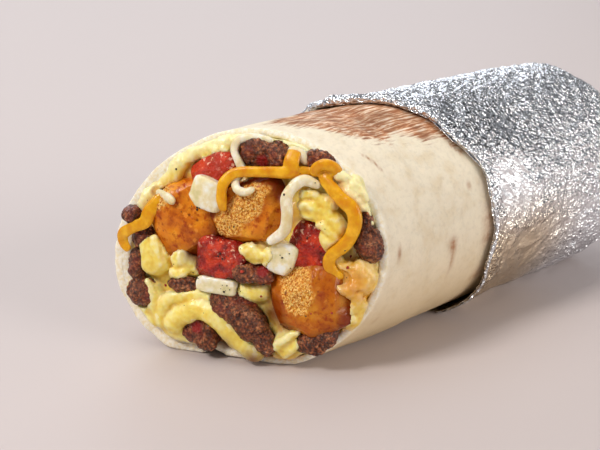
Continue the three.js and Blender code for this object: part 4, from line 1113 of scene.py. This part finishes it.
def foil_surface(sizes):
    """A thin cup: a lip, an outer side of creased foil, and a far end gathered into pleats, over a plain inside."""
    angle = np.linspace(-np.pi, np.pi, sizes.foil_spokes, endpoint=False)[None]
    edge = foil_edge(angle) + 0.35 * cloud(np.stack([angle * MEAN_RADIUS, 0 * angle, 0 * angle], -1), 51, 2.6, 2)
    share = np.concatenate([np.linspace(0, 0.12, 22), np.linspace(0.12, 1, 112)[1:]])[:, None]
    kept = np.linspace(0.97, 0.02, 46)[:, None]
    tip = FOIL_END - 0.7
    shape = (1 - kept ** 2) ** (1 / 3)
    body_t = edge + (FOIL_START_CLOSING + 8 - edge) * share
    cap_t = FOIL_START_CLOSING + (tip - FOIL_START_CLOSING) * shape
    cap_t = cap_t[cap_t[:, 0] > FOIL_START_CLOSING + 8.3] + 0 * angle
    t = np.concatenate([body_t, cap_t])
    kept = closing(t, FOIL_START_CLOSING, tip, 0)
    relief = foil_relief(t, angle)
    fold = np.abs(((9 * angle + 3 * (1 - kept)) / np.pi + 0.4 * np.sin(2 * angle)) % 2 - 1) * 2 - 1
    pleat = 1 + 0.09 * fold * (1 - kept) * kept * 4
    proud = WRAP_GAP + foil_flare(t, angle) + 0.3 + sizes.foil_relief * relief
    radius = roll_radius(t, angle, proud, 0, 0.6) * kept * pleat
    gather = (0.7 * relief + 0.5 * (fold + 1)) * (1 - kept) * smooth(1 - kept, 0, 0.3)
    outer = roll_point(t - gather, angle, radius)
    shares = np.array([0.985, 0.9, 0.7, 0.4, 0.22, 0.12, 0.07, 0.035, 0.012, 0.0])[:, None]
    inside_t = edge + (FOIL_END - 3 - edge) * shares
    near = np.exp(-shares * 45)
    inside_proud = WRAP_GAP + foil_flare(inside_t, angle) + 0.12
    inside_proud = inside_proud + sizes.foil_relief * foil_relief(inside_t, angle) * near
    inside_kept = closing(inside_t, FOIL_START_CLOSING, FOIL_END - 3, 0)
    inner = roll_point(inside_t, angle, roll_radius(inside_t, angle, inside_proud, 0.2, 0.6) * inside_kept)
    loops = np.concatenate([inner, outer])
    first = np.array([FACE_X + FOIL_END - 3.4, 0, AXIS_HEIGHT])
    last = np.array([FACE_X + tip - 0.6, 0, AXIS_HEIGHT])
    shell = closed_skin(loops, first, last)
    lip = foil_lip()
    # Painted reflection of the table: warm on the near lower side, fading behind.
    painted_warm_reflection = 0.8 * smooth(-np.degrees(angle), 70, 105) * (1 - smooth(-np.degrees(angle), 150, 170))
    painted_warm_reflection = painted_warm_reflection * (1 - smooth(t, *WARM_FADE))
    rest = np.zeros(2 + len(lip[0]))
    behind = t - foil_edge(angle)
    # Painted shade: where dark specks stand for the crinkles' shade and dark reflections, near the front edge on the
    # near side.
    painted_crinkle_shade = np.exp(-(((np.degrees(angle) + 38) / 26) ** 2)) * smooth(behind, -1, 2) * (1 - 0.7 * smooth(behind, 22, 40))
    painted_crinkle_shade = painted_crinkle_shade * (1 - foil_calm(t, angle))
    masks = {
        "painted_crinkle_shade": np.concatenate([inside_t.ravel() * 0, painted_crinkle_shade.ravel(), rest]),
        "calm": np.concatenate([foil_calm(inside_t, angle).ravel() * 0, foil_calm(t, angle).ravel(), rest]),
        "painted_warm_reflection": np.concatenate([inside_t.ravel() * 0 + 0.5, painted_warm_reflection.ravel(), rest]),
    }
    return joined([shell, lip]), masks


def foil_lip():
    """The edge folded back on itself: a flat, crumpled roll that follows the foil's front edge, wider at the top."""
    angle = np.radians(np.linspace(-168, 150, 620))[:, None]
    turn = np.linspace(0, 2 * np.pi, 20, endpoint=False)[None]
    place = np.concatenate([MEAN_RADIUS * angle, 0 * angle, 0 * angle], 1)
    ends = np.sqrt(np.sin(np.pi * np.linspace(0.004, 0.996, len(angle))))[:, None]
    top = np.exp(-(((np.degrees(angle) - 6) / 36) ** 2))
    width = ends * (0.75 + 1.2 * top) * (1 + 0.45 * cloud(place, 55, 3.2)[:, None])
    thick = ends * (0.32 + 0.75 * top) * (1 + 0.35 * cloud(place, 56, 2.4)[:, None])
    t = foil_edge(angle) + 0.2 + 0.6 * width + width * np.cos(turn)
    around = np.stack(np.broadcast_arrays(MEAN_RADIUS * angle, width * np.cos(turn), width * np.sin(turn)), -1)
    crumple = (0.45 * creases(around, 57, 2.1) + 0.25 * creases(around, 58, 1.0)) * ends
    crumple = crumple * (1 - top * (0.5 - 0.5 * np.sin(turn)))
    lowest = (WRAP_GAP + foil_flare(t, angle) + 0.45) * (1 - top) + 0.1 * top
    proud = lowest + thick * (1 + np.sin(turn)) + crumple
    loops = roll_point(t, angle, roll_radius(t, angle, proud, 0, 0.6))
    return closed_skin(loops, loops[0].mean(0), loops[-1].mean(0))


def filling_radius(t, angle, gap=FILLING_GAP, before=TUCK):
    """The radius left inside the sheet's inner turn, less a gap. It narrows this far before the inner edge."""
    degrees = np.degrees(angle) % 360
    inner_edge = OUTER_EDGE + 360 - SHEET_TURNS
    doubled = smooth(degrees, inner_edge - before, inner_edge - before / 2)
    doubled = doubled * (1 - smooth(degrees, OUTER_EDGE, OUTER_EDGE + TUCK))
    kept = closing(t, 108, 131, 0.05)
    wall = SHEET_THICKNESS + LAYER * doubled + gap
    return roll_radius(t, angle, 0, tortilla_lift(t)) * kept - wall


def egg_disc():
    """The front of the bed of egg: a gently domed disc that reaches a little way into the roll."""
    angle = np.linspace(0, 2 * np.pi, 180, endpoint=False)[None]
    share = np.array([0.08, 0.2, 0.35, 0.5, 0.65, 0.78, 0.88, 0.95, 0.99])[:, None]
    front = roll_point(0, angle, filling_radius(0, angle, 0.1, 3) * share)
    lumps = 0.9 * cloud(front, 74, 6.0, 2) * (1 - share ** 4)
    front[..., 0] += 0.5 - BED_RISE * (1 - share ** 3) - lumps
    back = [roll_point(t, angle, filling_radius(max(t, 0), angle) + 0.25)[0] for t in (1.2, 4, 8)]
    middle = np.array([FACE_X - 0.8, 0, AXIS_HEIGHT])
    return closed_skin(np.concatenate([front, np.array(back)]), middle, np.array([FACE_X + 8, 0, AXIS_HEIGHT]))


def rim_curd(start, end, width, thick, proud=0.6, inset=1.2):
    """A curd's size and path that hugs the sheet's inner side, between two angles round the roll in degrees."""
    angle = np.radians(np.linspace(start, end, 9))
    points = roll_point(-proud, angle, filling_radius(0, angle, 0.1, 3) - inset)
    return width, thick, [tuple(point) for point in to_face(points)]


def egg_core():
    """The rest of the bed of egg, unseen in the roll: plain loops that follow the sheet's inside."""
    angle = np.linspace(0, 2 * np.pi, 60, endpoint=False)
    loops = [roll_point(t, angle, filling_radius(t, angle) - 0.1) for t in (7, 14, 24, 36, 46, 80, 108, 115, 120)]
    first = np.array([FACE_X + 7, 0, AXIS_HEIGHT])
    return closed_skin(np.array(loops), first, np.array([FACE_X + 121.5, 0, AXIS_HEIGHT]))


def to_face(points):
    """Points of the part put in the cut face's own frame."""
    return (points - FACE_MIDDLE) @ FACE_AXES.T


def on_face(shell):
    """A shell of the cut face's frame put in the part's."""
    return from_face(shell[0]), shell[1], shell[2]


def inside_lump(points, at, size, turn=0.0, squareness=2.2, **_):
    """The lump's own measure: under 1 inside it, 1 on its skin. Also the depth of its back, for each point."""
    way = math.radians(turn)
    d = points - np.array(at)
    x = (d[:, 0] * math.cos(way) + d[:, 1] * math.sin(way)) / size[0] * 2
    y = (d[:, 1] * math.cos(way) - d[:, 0] * math.sin(way)) / size[1] * 2
    flat = np.abs(x) ** squareness + np.abs(y) ** squareness
    back = at[2] - size[2] / 2 * np.clip(1 - flat, 0, 1) ** (1 / squareness)
    return (flat + np.abs(d[:, 2] / size[2] * 2) ** squareness) ** (1 / squareness), back


def made_room(points):
    """Egg moved back out of the pieces that lie in it: behind lumps, and into grooves under strands."""
    w = points[:, 2].copy()
    for lobes in (*POTATOES.values(), *TOMATOES.values(), *SAUSAGES.values(), *ONIONS.values()):
        for lobe in lobes:
            measure, back = inside_lump(points, **lobe)
            w = np.where(measure < 0.96, np.minimum(w, back), w)
    for width, thick, path in (*WHITE_STRANDS.values(), *CHEDDAR_STRANDS.values()):
        middle = even_path(path, 70)[0]
        away = np.linalg.norm(points[:, None, :2] - middle[None, :, :2], axis=2)
        nearest = away.argmin(1)
        away = away[np.arange(len(points)), nearest]
        groove = middle[nearest, 2] - 0.1 * thick + 3 * np.maximum(0, away - width / 2)
        w = np.where(away < 1.5 * width, np.minimum(w, groove), w)
    return np.column_stack([points[:, :2], w])


def masked_egg(face, normals):
    """Masks of the egg: paler where it faces up, a painted highlight, and at the top rim; oily near the potatoes and
    low down; and painted shade between the pieces.
    """
    u, v, w = face.T
    oil = 0.85 * np.exp(-(((u - 27) / 5) ** 2) - ((v + 5) / 6) ** 2)
    oil = oil + 0.8 * smooth(-v, 19, 24) * smooth(-w, -2.6, 1.0)
    for lobes in POTATOES.values():
        measure = inside_lump(face, **lobes[0])[0]
        oil = np.maximum(oil, 0.8 * (1 - smooth(measure, 1.0, 1.16)) * smooth(-w, -4.5, 0))
    for width, _, path in CHEDDAR_STRANDS.values():
        middle = even_path(path, 50)[0]
        away = np.linalg.norm(face[:, None] - middle[None], axis=2).min(1)
        oil = np.maximum(oil, 0.5 * np.exp(-(((away - width / 2) / 1.2) ** 2)))
    rim = np.hypot((u + 0) / 28.5, (v - 0) / 26)
    # Painted highlight where the egg faces up.
    pale = 0.55 * smooth(normals[:, 2], 0.15, 0.8) * smooth(cloud(face, 71, 4.0), -0.5, 0.5)
    pale = np.maximum(pale, 0.75 * smooth(rim, 0.86, 0.97) * smooth(v, -8, 12))
    # Painted shade between the pieces.
    painted_gap_shade = 0.9 * sum(np.exp(-((np.hypot(u - a, v - b) / reach) ** 2)) for a, b, reach in GAP_SHADE_SPOTS)
    return {"oil": np.clip(oil, 0, 1), "pale": np.clip(pale, 0, 1), "painted_gap_shade": np.clip(painted_gap_shade, 0, 1)}


def embossed(shell, height):
    """A shell with each point moved along its normal by a height in millimetres."""
    return shell[0] + vertex_normals(*shell) * height[:, None], shell[1], shell[2]


def knifed(shell, name):
    """A shell pressed flat beyond its facets: points past a plane move back to it along its normal."""
    points = shell[0].copy()
    middle = points.mean(0)
    for way, share in FACETS[name]:
        normal = np.array(way, float) / np.linalg.norm(way)
        reach = (points - middle) @ normal
        points -= 0.9 * np.maximum(reach - share * reach.max(), 0)[:, None] * normal
    return points, shell[1], shell[2]


class BURRITO_OT_tortilla(bpy.types.Operator):
    """Roll the griddled tortilla and cut its front open"""

    bl_idname = "burrito.tortilla"
    bl_label = "Tortilla"

    def execute(self, context):
        shell, masks = tortilla_surface(context.scene.burrito_sizes)
        material = baked_flour(context.scene.burrito_colours)
        finished("rolled_tortilla", shell, material, "tortilla", ["tortilla_sheet"], masks)
        return {"FINISHED"}


class BURRITO_OT_foil(bpy.types.Operator):
    """Wrap the rear half in crumpled foil"""

    bl_idname = "burrito.foil"
    bl_label = "Foil"

    def execute(self, context):
        shell, masks = foil_surface(context.scene.burrito_sizes)
        material = crumpled_foil(context.scene.burrito_colours)
        finished("crumpled_foil", shell, material, "foil", ["foil_wrap"], masks)
        return {"FINISHED"}


class BURRITO_OT_egg(bpy.types.Operator):
    """Fill the roll with scrambled egg, its folds fused into one moist skin"""

    bl_idname = "burrito.egg"
    bl_label = "Scrambled egg"

    def execute(self, context):
        material = soft_egg(context.scene.burrito_colours)
        curds = [
            on_face(strand(path, width, thick, 18, 0.4, 2.3, 80 + i, 0.16))
            for i, (width, thick, path) in enumerate([*CURDS, *SMALL_CURDS, *[rim_curd(*c) for c in RIM_CURDS]])
        ]
        points, quads, tris = fused([egg_disc(), *curds], context.scene.burrito_sizes.egg_voxel)
        place = to_face(points)
        front = smooth(place[:, 2], -3, 0)
        reach = [
            np.linalg.norm(place[:, None] - even_path(path, 40)[0][None], axis=2).min(1) / width
            for width, _, path in [CURDS[i] for i in SLEEK]
        ]
        sleek = 1 - 0.8 * np.exp(-((np.min(reach, axis=0) / 0.7) ** 2))
        ridges = 0.5 - np.abs(cloud(points, 75, 3.0, 3)) - 0.25 * np.abs(cloud(points, 76, 1.3, 2))
        relief = (0.34 * cloud(points, 72, 3.4, 3) + 0.5 * ridges) * front * sleek
        points = embossed((points, quads, tris), relief)[0]
        place = to_face(points)
        over = (reach[0] < 0.52) & (place[:, 2] > 1.4)
        face = np.where(over[:, None], place, made_room(place))
        points = kept_in(from_face(face))
        masks = masked_egg(face, vertex_normals(points, quads, tris))
        finished("scrambled_egg_folds", (points, quads, tris), material, "egg", ["scrambled_egg"], masks)
        core = egg_core()
        blank = {name: np.zeros(len(core[0])) for name in masks}
        finished("scrambled_egg_core", core, material, "egg", (), blank)
        return {"FINISHED"}


def kept_in(points):
    """Filling points kept inside the sheet: nearer the roll's axis than its inner side, and off the table."""
    y = points[:, 1]
    z = points[:, 2] - AXIS_HEIGHT
    offset = -y * math.tan(CUT_SLANT) + z * math.tan(CUT_LEAN) / math.cos(CUT_SLANT)
    t = np.clip(points[:, 0] - FACE_X - offset, 0, 30)
    angle = np.arctan2(y, z)
    radius = np.hypot(y, z)
    before = FACE_X + offset - points[:, 0]
    most = filling_radius(t, angle, 0.1, 3) + 7 * smooth(before, 0.3, 2.2)
    share = np.minimum(1, most / np.maximum(radius, 1e-6))
    return np.stack([points[:, 0], y * share, np.maximum(AXIS_HEIGHT + z * share, 0.5)], 1)


class BURRITO_OT_potatoes(bpy.types.Operator):
    """Set the fried potato dice in the egg"""

    bl_idname = "burrito.potatoes"
    bl_label = "Potatoes"

    def execute(self, context):
        material = fried_potato(context.scene.burrito_colours)
        for name, (lobe,) in POTATOES.items():
            shell = knifed(lump(cuts=58, **lobe), name)
            face = shell[0]
            u0, v0, half_u, half_v, turn = SANDY[name]
            way = math.radians(turn)
            x = ((face[:, 0] - u0) * math.cos(way) + (face[:, 1] - v0) * math.sin(way)) / half_u
            y = ((face[:, 1] - v0) * math.cos(way) - (face[:, 0] - u0) * math.sin(way)) / half_v
            sand = (1 - smooth(np.hypot(x, y) + 0.3 * cloud(face, 91, 3), 0.75, 1.2)) * smooth(face[:, 2], 0, 3)
            grit = grains(face, 92, 0.85)[0]
            relief = 0.3 * cloud(face, lobe["seed"], 4.5, 3) + 0.2 * sand * (0.6 - grit)
            place = (face - np.array(lobe["at"])) / np.array(lobe["size"]) * 2
            # Painted shade: darker red-brown towards the listed ways.
            reach = np.max([place[:, :2] @ np.array(way) for way in SHADED[name]], axis=0) - 0.25 * place[:, 2]
            shade = smooth(reach + 0.3 * cloud(face, 93, 5), 0.0, 0.95) * 0.92
            shade = np.maximum(shade, ALL_OVER_SHADE[name]) * (1 - 0.8 * sand)
            shell = embossed(shell, relief)
            shell = (kept_in(from_face(shell[0])), shell[1], shell[2])
            finished("fried_" + name, shell, material, "potato", [name], {"sand": sand, "shade": shade})
        return {"FINISHED"}


class BURRITO_OT_tomatoes(bpy.types.Operator):
    """Set the wet tomato dice in the egg"""

    bl_idname = "burrito.tomatoes"
    bl_label = "Tomatoes"

    def execute(self, context):
        material = wet_tomato(context.scene.burrito_colours)
        for name, (lobe,) in TOMATOES.items():
            shell = knifed(lump(cuts=44, **lobe), name)
            face = shell[0]
            relief = 0.35 * cloud(face, lobe["seed"], 3.2, 3) - 0.25 * np.abs(cloud(face, lobe["seed"] + 5, 5.0, 2))
            place = (face - np.array(lobe["at"])) / np.array(lobe["size"]) * 2
            # Painted highlights on the upper side, facing out of the cut.
            wet = smooth(place[:, 1] + 0.6 * cloud(face, 94, 2.6, 2), 0.0, 0.7) * smooth(place[:, 2], 0.1, 0.7)
            # Painted light on the upper dice.
            painted_light_upper = np.full(len(face), 0.55 if name == "tomato_upper" else 0.0)
            shell = embossed(shell, relief)
            shell = (kept_in(from_face(shell[0])), shell[1], shell[2])
            finished("diced_" + name, shell, material, "tomato", [name], {"wet": wet, "painted_light_upper": painted_light_upper})
        return {"FINISHED"}


class BURRITO_OT_sausage(bpy.types.Operator):
    """Crumble the fried sausage over the egg"""

    bl_idname = "burrito.sausage"
    bl_label = "Sausage"

    def execute(self, context):
        material = fried_sausage(context.scene.burrito_colours)
        for name, lobes in SAUSAGES.items():
            shells = [on_face(lump(cuts=16, **lobe)) for lobe in lobes]
            shell = fused(shells, context.scene.burrito_sizes.sausage_voxel, 1)
            place = shell[0]
            first, second = grains(place, lobes[0]["seed"], 1.7)
            relief = 0.55 * np.minimum(second - first, 0.5) - 0.28 + 0.22 * cloud(place, lobes[0]["seed"], 2.6, 3)
            relief = relief + 0.1 * cloud(place, 95, 0.7, 2)
            shell = embossed(shell, relief)
            shell = (kept_in(shell[0]), shell[1], shell[2])
            face = to_face(shell[0])
            red = smooth(cloud(face, lobes[0]["seed"] + 3, 3.2, 2), 0.35, 0.6) * 0.2
            if name in ("sausage_top", "sausage_lower_left", "sausage_middle"):
                spot = {"sausage_top": (3.2, 20.6), "sausage_lower_left": (-10.4, -20.4), "sausage_middle": (5.4, -4.6)}
                away = np.hypot(*(face[:, :2] - np.array(spot[name])).T)
                red = np.maximum(red, 1 - smooth(away, 0.9, 1.9))
            finished("crumbled_" + name, shell, material, "sausage", [name], {"red": red})
        return {"FINISHED"}


class BURRITO_OT_onions(bpy.types.Operator):
    """Lay the diced onion on the egg"""

    bl_idname = "burrito.onions"
    bl_label = "Onions"

    def execute(self, context):
        material = soft_onion(context.scene.burrito_colours)
        for name, (lobe,) in ONIONS.items():
            shell = knifed(lump(cuts=34, **lobe), name)
            shell = embossed(shell, 0.12 * cloud(shell[0], lobe["seed"], 2.4, 3))
            finished("diced_" + name, on_face(shell), material, "onion", [name])
        return {"FINISHED"}


class BURRITO_OT_white_cheese(bpy.types.Operator):
    """Drape the white cheese shreds"""

    bl_idname = "burrito.white_cheese"
    bl_label = "White cheese"

    def execute(self, context):
        colour = context.scene.burrito_colours.white_cheese
        material = melted_cheese("soft_white_cheese", colour, "#E0CD98", "#FCF6E4", 0.25)
        for i, (name, (width, thick, path)) in enumerate(WHITE_STRANDS.items()):
            shell = on_face(strand(path, width, thick, 28, 0.22, 2.4, 101 + i, 0.1, 0.2))
            finished("melted_" + name, shell, material, "white_cheese", [name])
        return {"FINISHED"}


class BURRITO_OT_cheddar(bpy.types.Operator):
    """Drape the orange cheese shreds, with what has melted onto them"""

    bl_idname = "burrito.cheddar"
    bl_label = "Orange cheese"

    def execute(self, context):
        colour = context.scene.burrito_colours.cheddar
        material = melted_cheese("melted_orange_cheese", colour, "#D88804", "#F2B824", 0.2)
        for i, (name, line) in enumerate(CHEDDAR_STRANDS.items()):
            lines = [line, *CHEDDAR_BRANCHES.get(name, [])]
            shells = [
                on_face(strand(path, width, thick, 24, 0.25, 3.2, 111 + 7 * i + k, 0.16, 0.1 if k else 0.35))
                for k, (width, thick, path) in enumerate(lines)
            ]
            finished("melted_" + name, fused(shells, 0.24, 2), material, "cheddar", [name])
        return {"FINISHED"}


def pebbles(places, sizes, seed):
    """Small uneven grains about places: a coarse ball for each, with each point's radius drawn."""
    ways, quads = box_grid(2)
    number = np.arange(len(places) * len(ways)).reshape(len(places), len(ways))
    radius = 0.5 * np.asarray(sizes)[:, None] * (0.72 + 0.5 * draw(number + seed * 997))
    points = places[:, None] + ways[None] * radius[..., None]
    faces = quads[None] + np.arange(len(places))[:, None, None] * len(ways)
    return points.reshape(-1, 3), faces.reshape(-1, 4), np.zeros((0, 3), int)


def landed(names, spots):
    """Where rays straight into the cut face first meet one of the pieces, for spots given on the face."""
    view = bpy.context.evaluated_depsgraph_get()
    trees = [BVHTree.FromObject(bpy.data.objects[name], view) for name in names]
    way = Vector(-FACE_AXES[2])
    starts = from_face(np.column_stack([spots, np.full(len(spots), 14.0)])) * MM
    found = []
    for start in starts:
        hits = [tree.ray_cast(Vector(start), way, 0.03) for tree in trees]
        hits = [hit for hit in hits if hit[0] is not None]
        if hits:
            found.append(min(hits, key=lambda hit: hit[3])[0])
    return np.array(found) / MM


def scattered(count, seed, middle, half, turn=0.0):
    """Spots drawn over an oval on the face, a little closer together towards its middle."""
    i = np.arange(count)
    corner = np.stack([i, 0 * i + seed, 0 * i], -1)
    radius = drawn_at(corner, 5) ** 0.62
    way = drawn_at(corner, 9) * 2 * np.pi
    x = radius * np.cos(way) * half[0]
    y = radius * np.sin(way) * half[1]
    lean = math.radians(turn)
    return np.column_stack([
        middle[0] + x * math.cos(lean) - y * math.sin(lean),
        middle[1] + x * math.sin(lean) + y * math.cos(lean),
    ])


class BURRITO_OT_seasoning(bpy.types.Operator):
    """Scatter sandy crumbs on the potatoes, and pepper and red flakes over the filling"""

    bl_idname = "burrito.seasoning"
    bl_label = "Seasoning"

    def execute(self, context):
        sizes = context.scene.burrito_sizes
        filling = [o.name for o in bpy.data.objects if o.get("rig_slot") and o.get("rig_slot") not in ("tortilla", "foil")]
        if not filling:
            raise RuntimeError("build the filling before its seasoning")
        grit = []
        for k, (name, (u, v, half_u, half_v, turn)) in enumerate(SANDY.items()):
            count = sizes.crumbs if name != "potato_left" else sizes.crumbs // 4
            spots = scattered(count, 200 + k, (u, v), (half_u, half_v), turn)
            grit.append(landed(["fried_" + name], spots))
        places = np.concatenate(grit)
        grain = 0.24 + 0.32 * draw(np.arange(len(places)) + 500)
        coat = speckled("fried_golden_grit", "#D58A24", "#FAD27C", 0.5)
        finished("sandy_crumbs", pebbles(places, grain, 3), coat, "potato")
        whole = scattered(sizes.pepper, 230, (0, 0), (27, 23))
        close = np.concatenate([
            scattered(7, 241, (-11.6, 8.4), (2.0, 0.8)), scattered(6, 242, (-3.4, -9.8), (1.6, 1.0)),
            scattered(4, 243, (10.6, -0.6), (1.8, 1.2)), scattered(3, 244, (6.4, 1.4), (0.8, 0.6)),
            scattered(8, 245, (-5.0, -2.4), (3.6, 2.6)), scattered(10, 246, (16.4, 3.4), (3.0, 2.0)),
        ])
        places = landed(filling, np.concatenate([whole, close]))
        grain = 0.22 + 0.4 * draw(np.arange(len(places)) + 700) ** 2
        pepper = speckled("ground_black_pepper", "#14100C", "#3C2C1E", 0.7)
        finished("pepper_specks", pebbles(places, grain, 4), pepper, "sausage")
        places = landed(filling, scattered(9, 250, (2, -4), (24, 20)))
        grain = 0.4 + 0.5 * draw(np.arange(len(places)) + 900)
        flakes = speckled("red_chilli_flake", "#7E120A", "#C2361A", 0.4)
        finished("red_flakes", pebbles(places, grain, 5), flakes, "tomato")
        return {"FINISHED"}


# The camera: where it stands round the middle of the cut, how far off, and how it is turned, from the photo's view.
VIEW_TURN = math.radians(-44.588)
VIEW_RISE = math.radians(19.313)
VIEW_ROLL = math.radians(0.793)
VIEW_DISTANCE = 314.3
PHOTO = (600, 450)
FOCAL_PIXELS = 1337.3
MIDDLE_PIXEL = (248.57, 252.04)
SENSOR = 36.0


def camera_place():
    """The camera's place in millimetres and its three axes, so that the cut's middle falls on its pixel."""
    out = np.array([
        math.sin(VIEW_TURN) * math.cos(VIEW_RISE), -math.cos(VIEW_TURN) * math.cos(VIEW_RISE), math.sin(VIEW_RISE),
    ])
    place = np.array([FACE_X, 0, AXIS_HEIGHT]) + out * VIEW_DISTANCE
    right = np.cross(-out, [0, 0, 1])
    right /= np.linalg.norm(right)
    up = np.cross(right, -out)
    yaw = math.atan((MIDDLE_PIXEL[0] - PHOTO[0] / 2) / FOCAL_PIXELS)
    pitch = math.atan(-(MIDDLE_PIXEL[1] - PHOTO[1] / 2) / FOCAL_PIXELS * math.cos(yaw))
    ahead = -out * math.cos(-yaw) + right * math.sin(-yaw)
    side = right * math.cos(-yaw) + out * math.sin(-yaw)
    looking = ahead * math.cos(-pitch) + up * math.sin(-pitch)
    above = up * math.cos(-pitch) - ahead * math.sin(-pitch)
    across = side * math.cos(VIEW_ROLL) + above * math.sin(VIEW_ROLL)
    over = above * math.cos(VIEW_ROLL) - side * math.sin(VIEW_ROLL)
    return place, across, over, looking


def softbox(name, place, aim, size, power, colour):
    """A square area light at a place in metres, aimed at a point."""
    light = bpy.data.lights.new(name, "AREA")
    light.shape = "RECTANGLE"
    light.size, light.size_y = size
    light.energy = power
    light.color = linear(colour)[:3]
    holder = bpy.data.objects.new(name, light)
    holder.location = place
    holder.rotation_euler = (Vector(aim) - Vector(place)).to_track_quat("-Z", "Y").to_euler()
    bpy.context.scene.collection.objects.link(holder)
    return holder


class BURRITO_OT_stage(bpy.types.Operator):
    """Set the plain pale floor, the soft lights and the camera"""

    bl_idname = "burrito.stage"
    bl_label = "Stage"

    def execute(self, context):
        scene = context.scene
        reach = 2.5
        corners = [(-reach, -reach, 0), (reach, -reach, 0), (reach, reach, 0), (-reach, reach, 0)]
        mesh = bpy.data.meshes.new("pale_floor")
        mesh.from_pydata([(x, y, -0.0001) for x, y, _ in corners], [], [(0, 1, 2, 3)])
        paint = new_material("matt_pale_board", base_color=tuple(scene.burrito_colours.floor), roughness=0.6)[0]
        mesh.materials.append(paint)
        floor = bpy.data.objects.new("pale_floor", mesh)
        scene.collection.objects.link(floor)
        world = bpy.data.worlds.new("studio")
        world.use_nodes = True
        backdrop = world.node_tree.nodes["Background"]
        backdrop.inputs["Color"].default_value = linear("#E4E6EC")
        backdrop.inputs["Strength"].default_value = 0.28
        scene.world = world
        aim = (0.0, 0.0, 0.03)
        softbox("overhead_softbox", (-0.3, 0.7, 2.1), aim, (2.6, 1.8), 24.0, "#FFFFFF")
        softbox("left_softbox", (-1.7, 0.3, 1.6), aim, (0.55, 0.45), 32.0, "#FFF9F2")
        softbox("near_fill", (0.6, -2.2, 1.0), aim, (1.4, 0.8), 24.0, "#FFF8F0")
        softbox("back_softbox", (1.5, 2.0, 0.9), aim, (2.2, 0.8), 17.0, "#F4F8FF")
        softbox("right_card", (1.5, -1.6, 0.4), aim, (0.8, 0.4), 5.5, "#FFFCF6")
        scene.view_settings.view_transform = "Standard"
        place, across, over, looking = camera_place()
        camera = bpy.data.cameras.new("camera")
        camera.sensor_width = SENSOR
        camera.lens = SENSOR * FOCAL_PIXELS / PHOTO[0]
        camera.clip_start = 0.01
        holder = bpy.data.objects.new("camera", camera)
        turned = np.eye(4)
        turned[:3, 0], turned[:3, 1], turned[:3, 2], turned[:3, 3] = across, over, -looking, place * MM
        holder.matrix_world = Matrix(turned.tolist())
        scene.collection.objects.link(holder)
        scene.camera = holder
        return {"FINISHED"}


STEPS = (
    BURRITO_OT_tortilla, BURRITO_OT_foil, BURRITO_OT_egg, BURRITO_OT_potatoes, BURRITO_OT_tomatoes,
    BURRITO_OT_sausage, BURRITO_OT_onions, BURRITO_OT_white_cheese, BURRITO_OT_cheddar, BURRITO_OT_seasoning,
    BURRITO_OT_stage,
)


class BURRITO_PT_steps(bpy.types.Panel):
    """The pieces in the order in which they are made"""

    bl_idname = "BURRITO_PT_steps"
    bl_label = "Breakfast burrito"
    bl_space_type = "VIEW_3D"
    bl_region_type = "UI"
    bl_category = "Burrito"

    def draw(self, context):
        for step in STEPS:
            self.layout.operator(step.bl_idname)
        for group in (context.scene.burrito_sizes, context.scene.burrito_colours):
            for title in group.bl_rna.properties.keys():
                if title not in ("rna_type", "name"):
                    self.layout.prop(group, title)


CLASSES = (BurritoSizes, BurritoColours, *STEPS, BURRITO_PT_steps)


def register():
    for kind in CLASSES:
        bpy.utils.register_class(kind)
    bpy.types.Scene.burrito_sizes = PointerProperty(type=BurritoSizes)
    bpy.types.Scene.burrito_colours = PointerProperty(type=BurritoColours)


def unregister():
    del bpy.types.Scene.burrito_colours
    del bpy.types.Scene.burrito_sizes
    for kind in reversed(CLASSES):
        bpy.utils.unregister_class(kind)


def main():
    register()
    for step in STEPS:
        group, name = step.bl_idname.split(".")
        getattr(getattr(bpy.ops, group), name)()


if __name__ == "__main__":
    main()
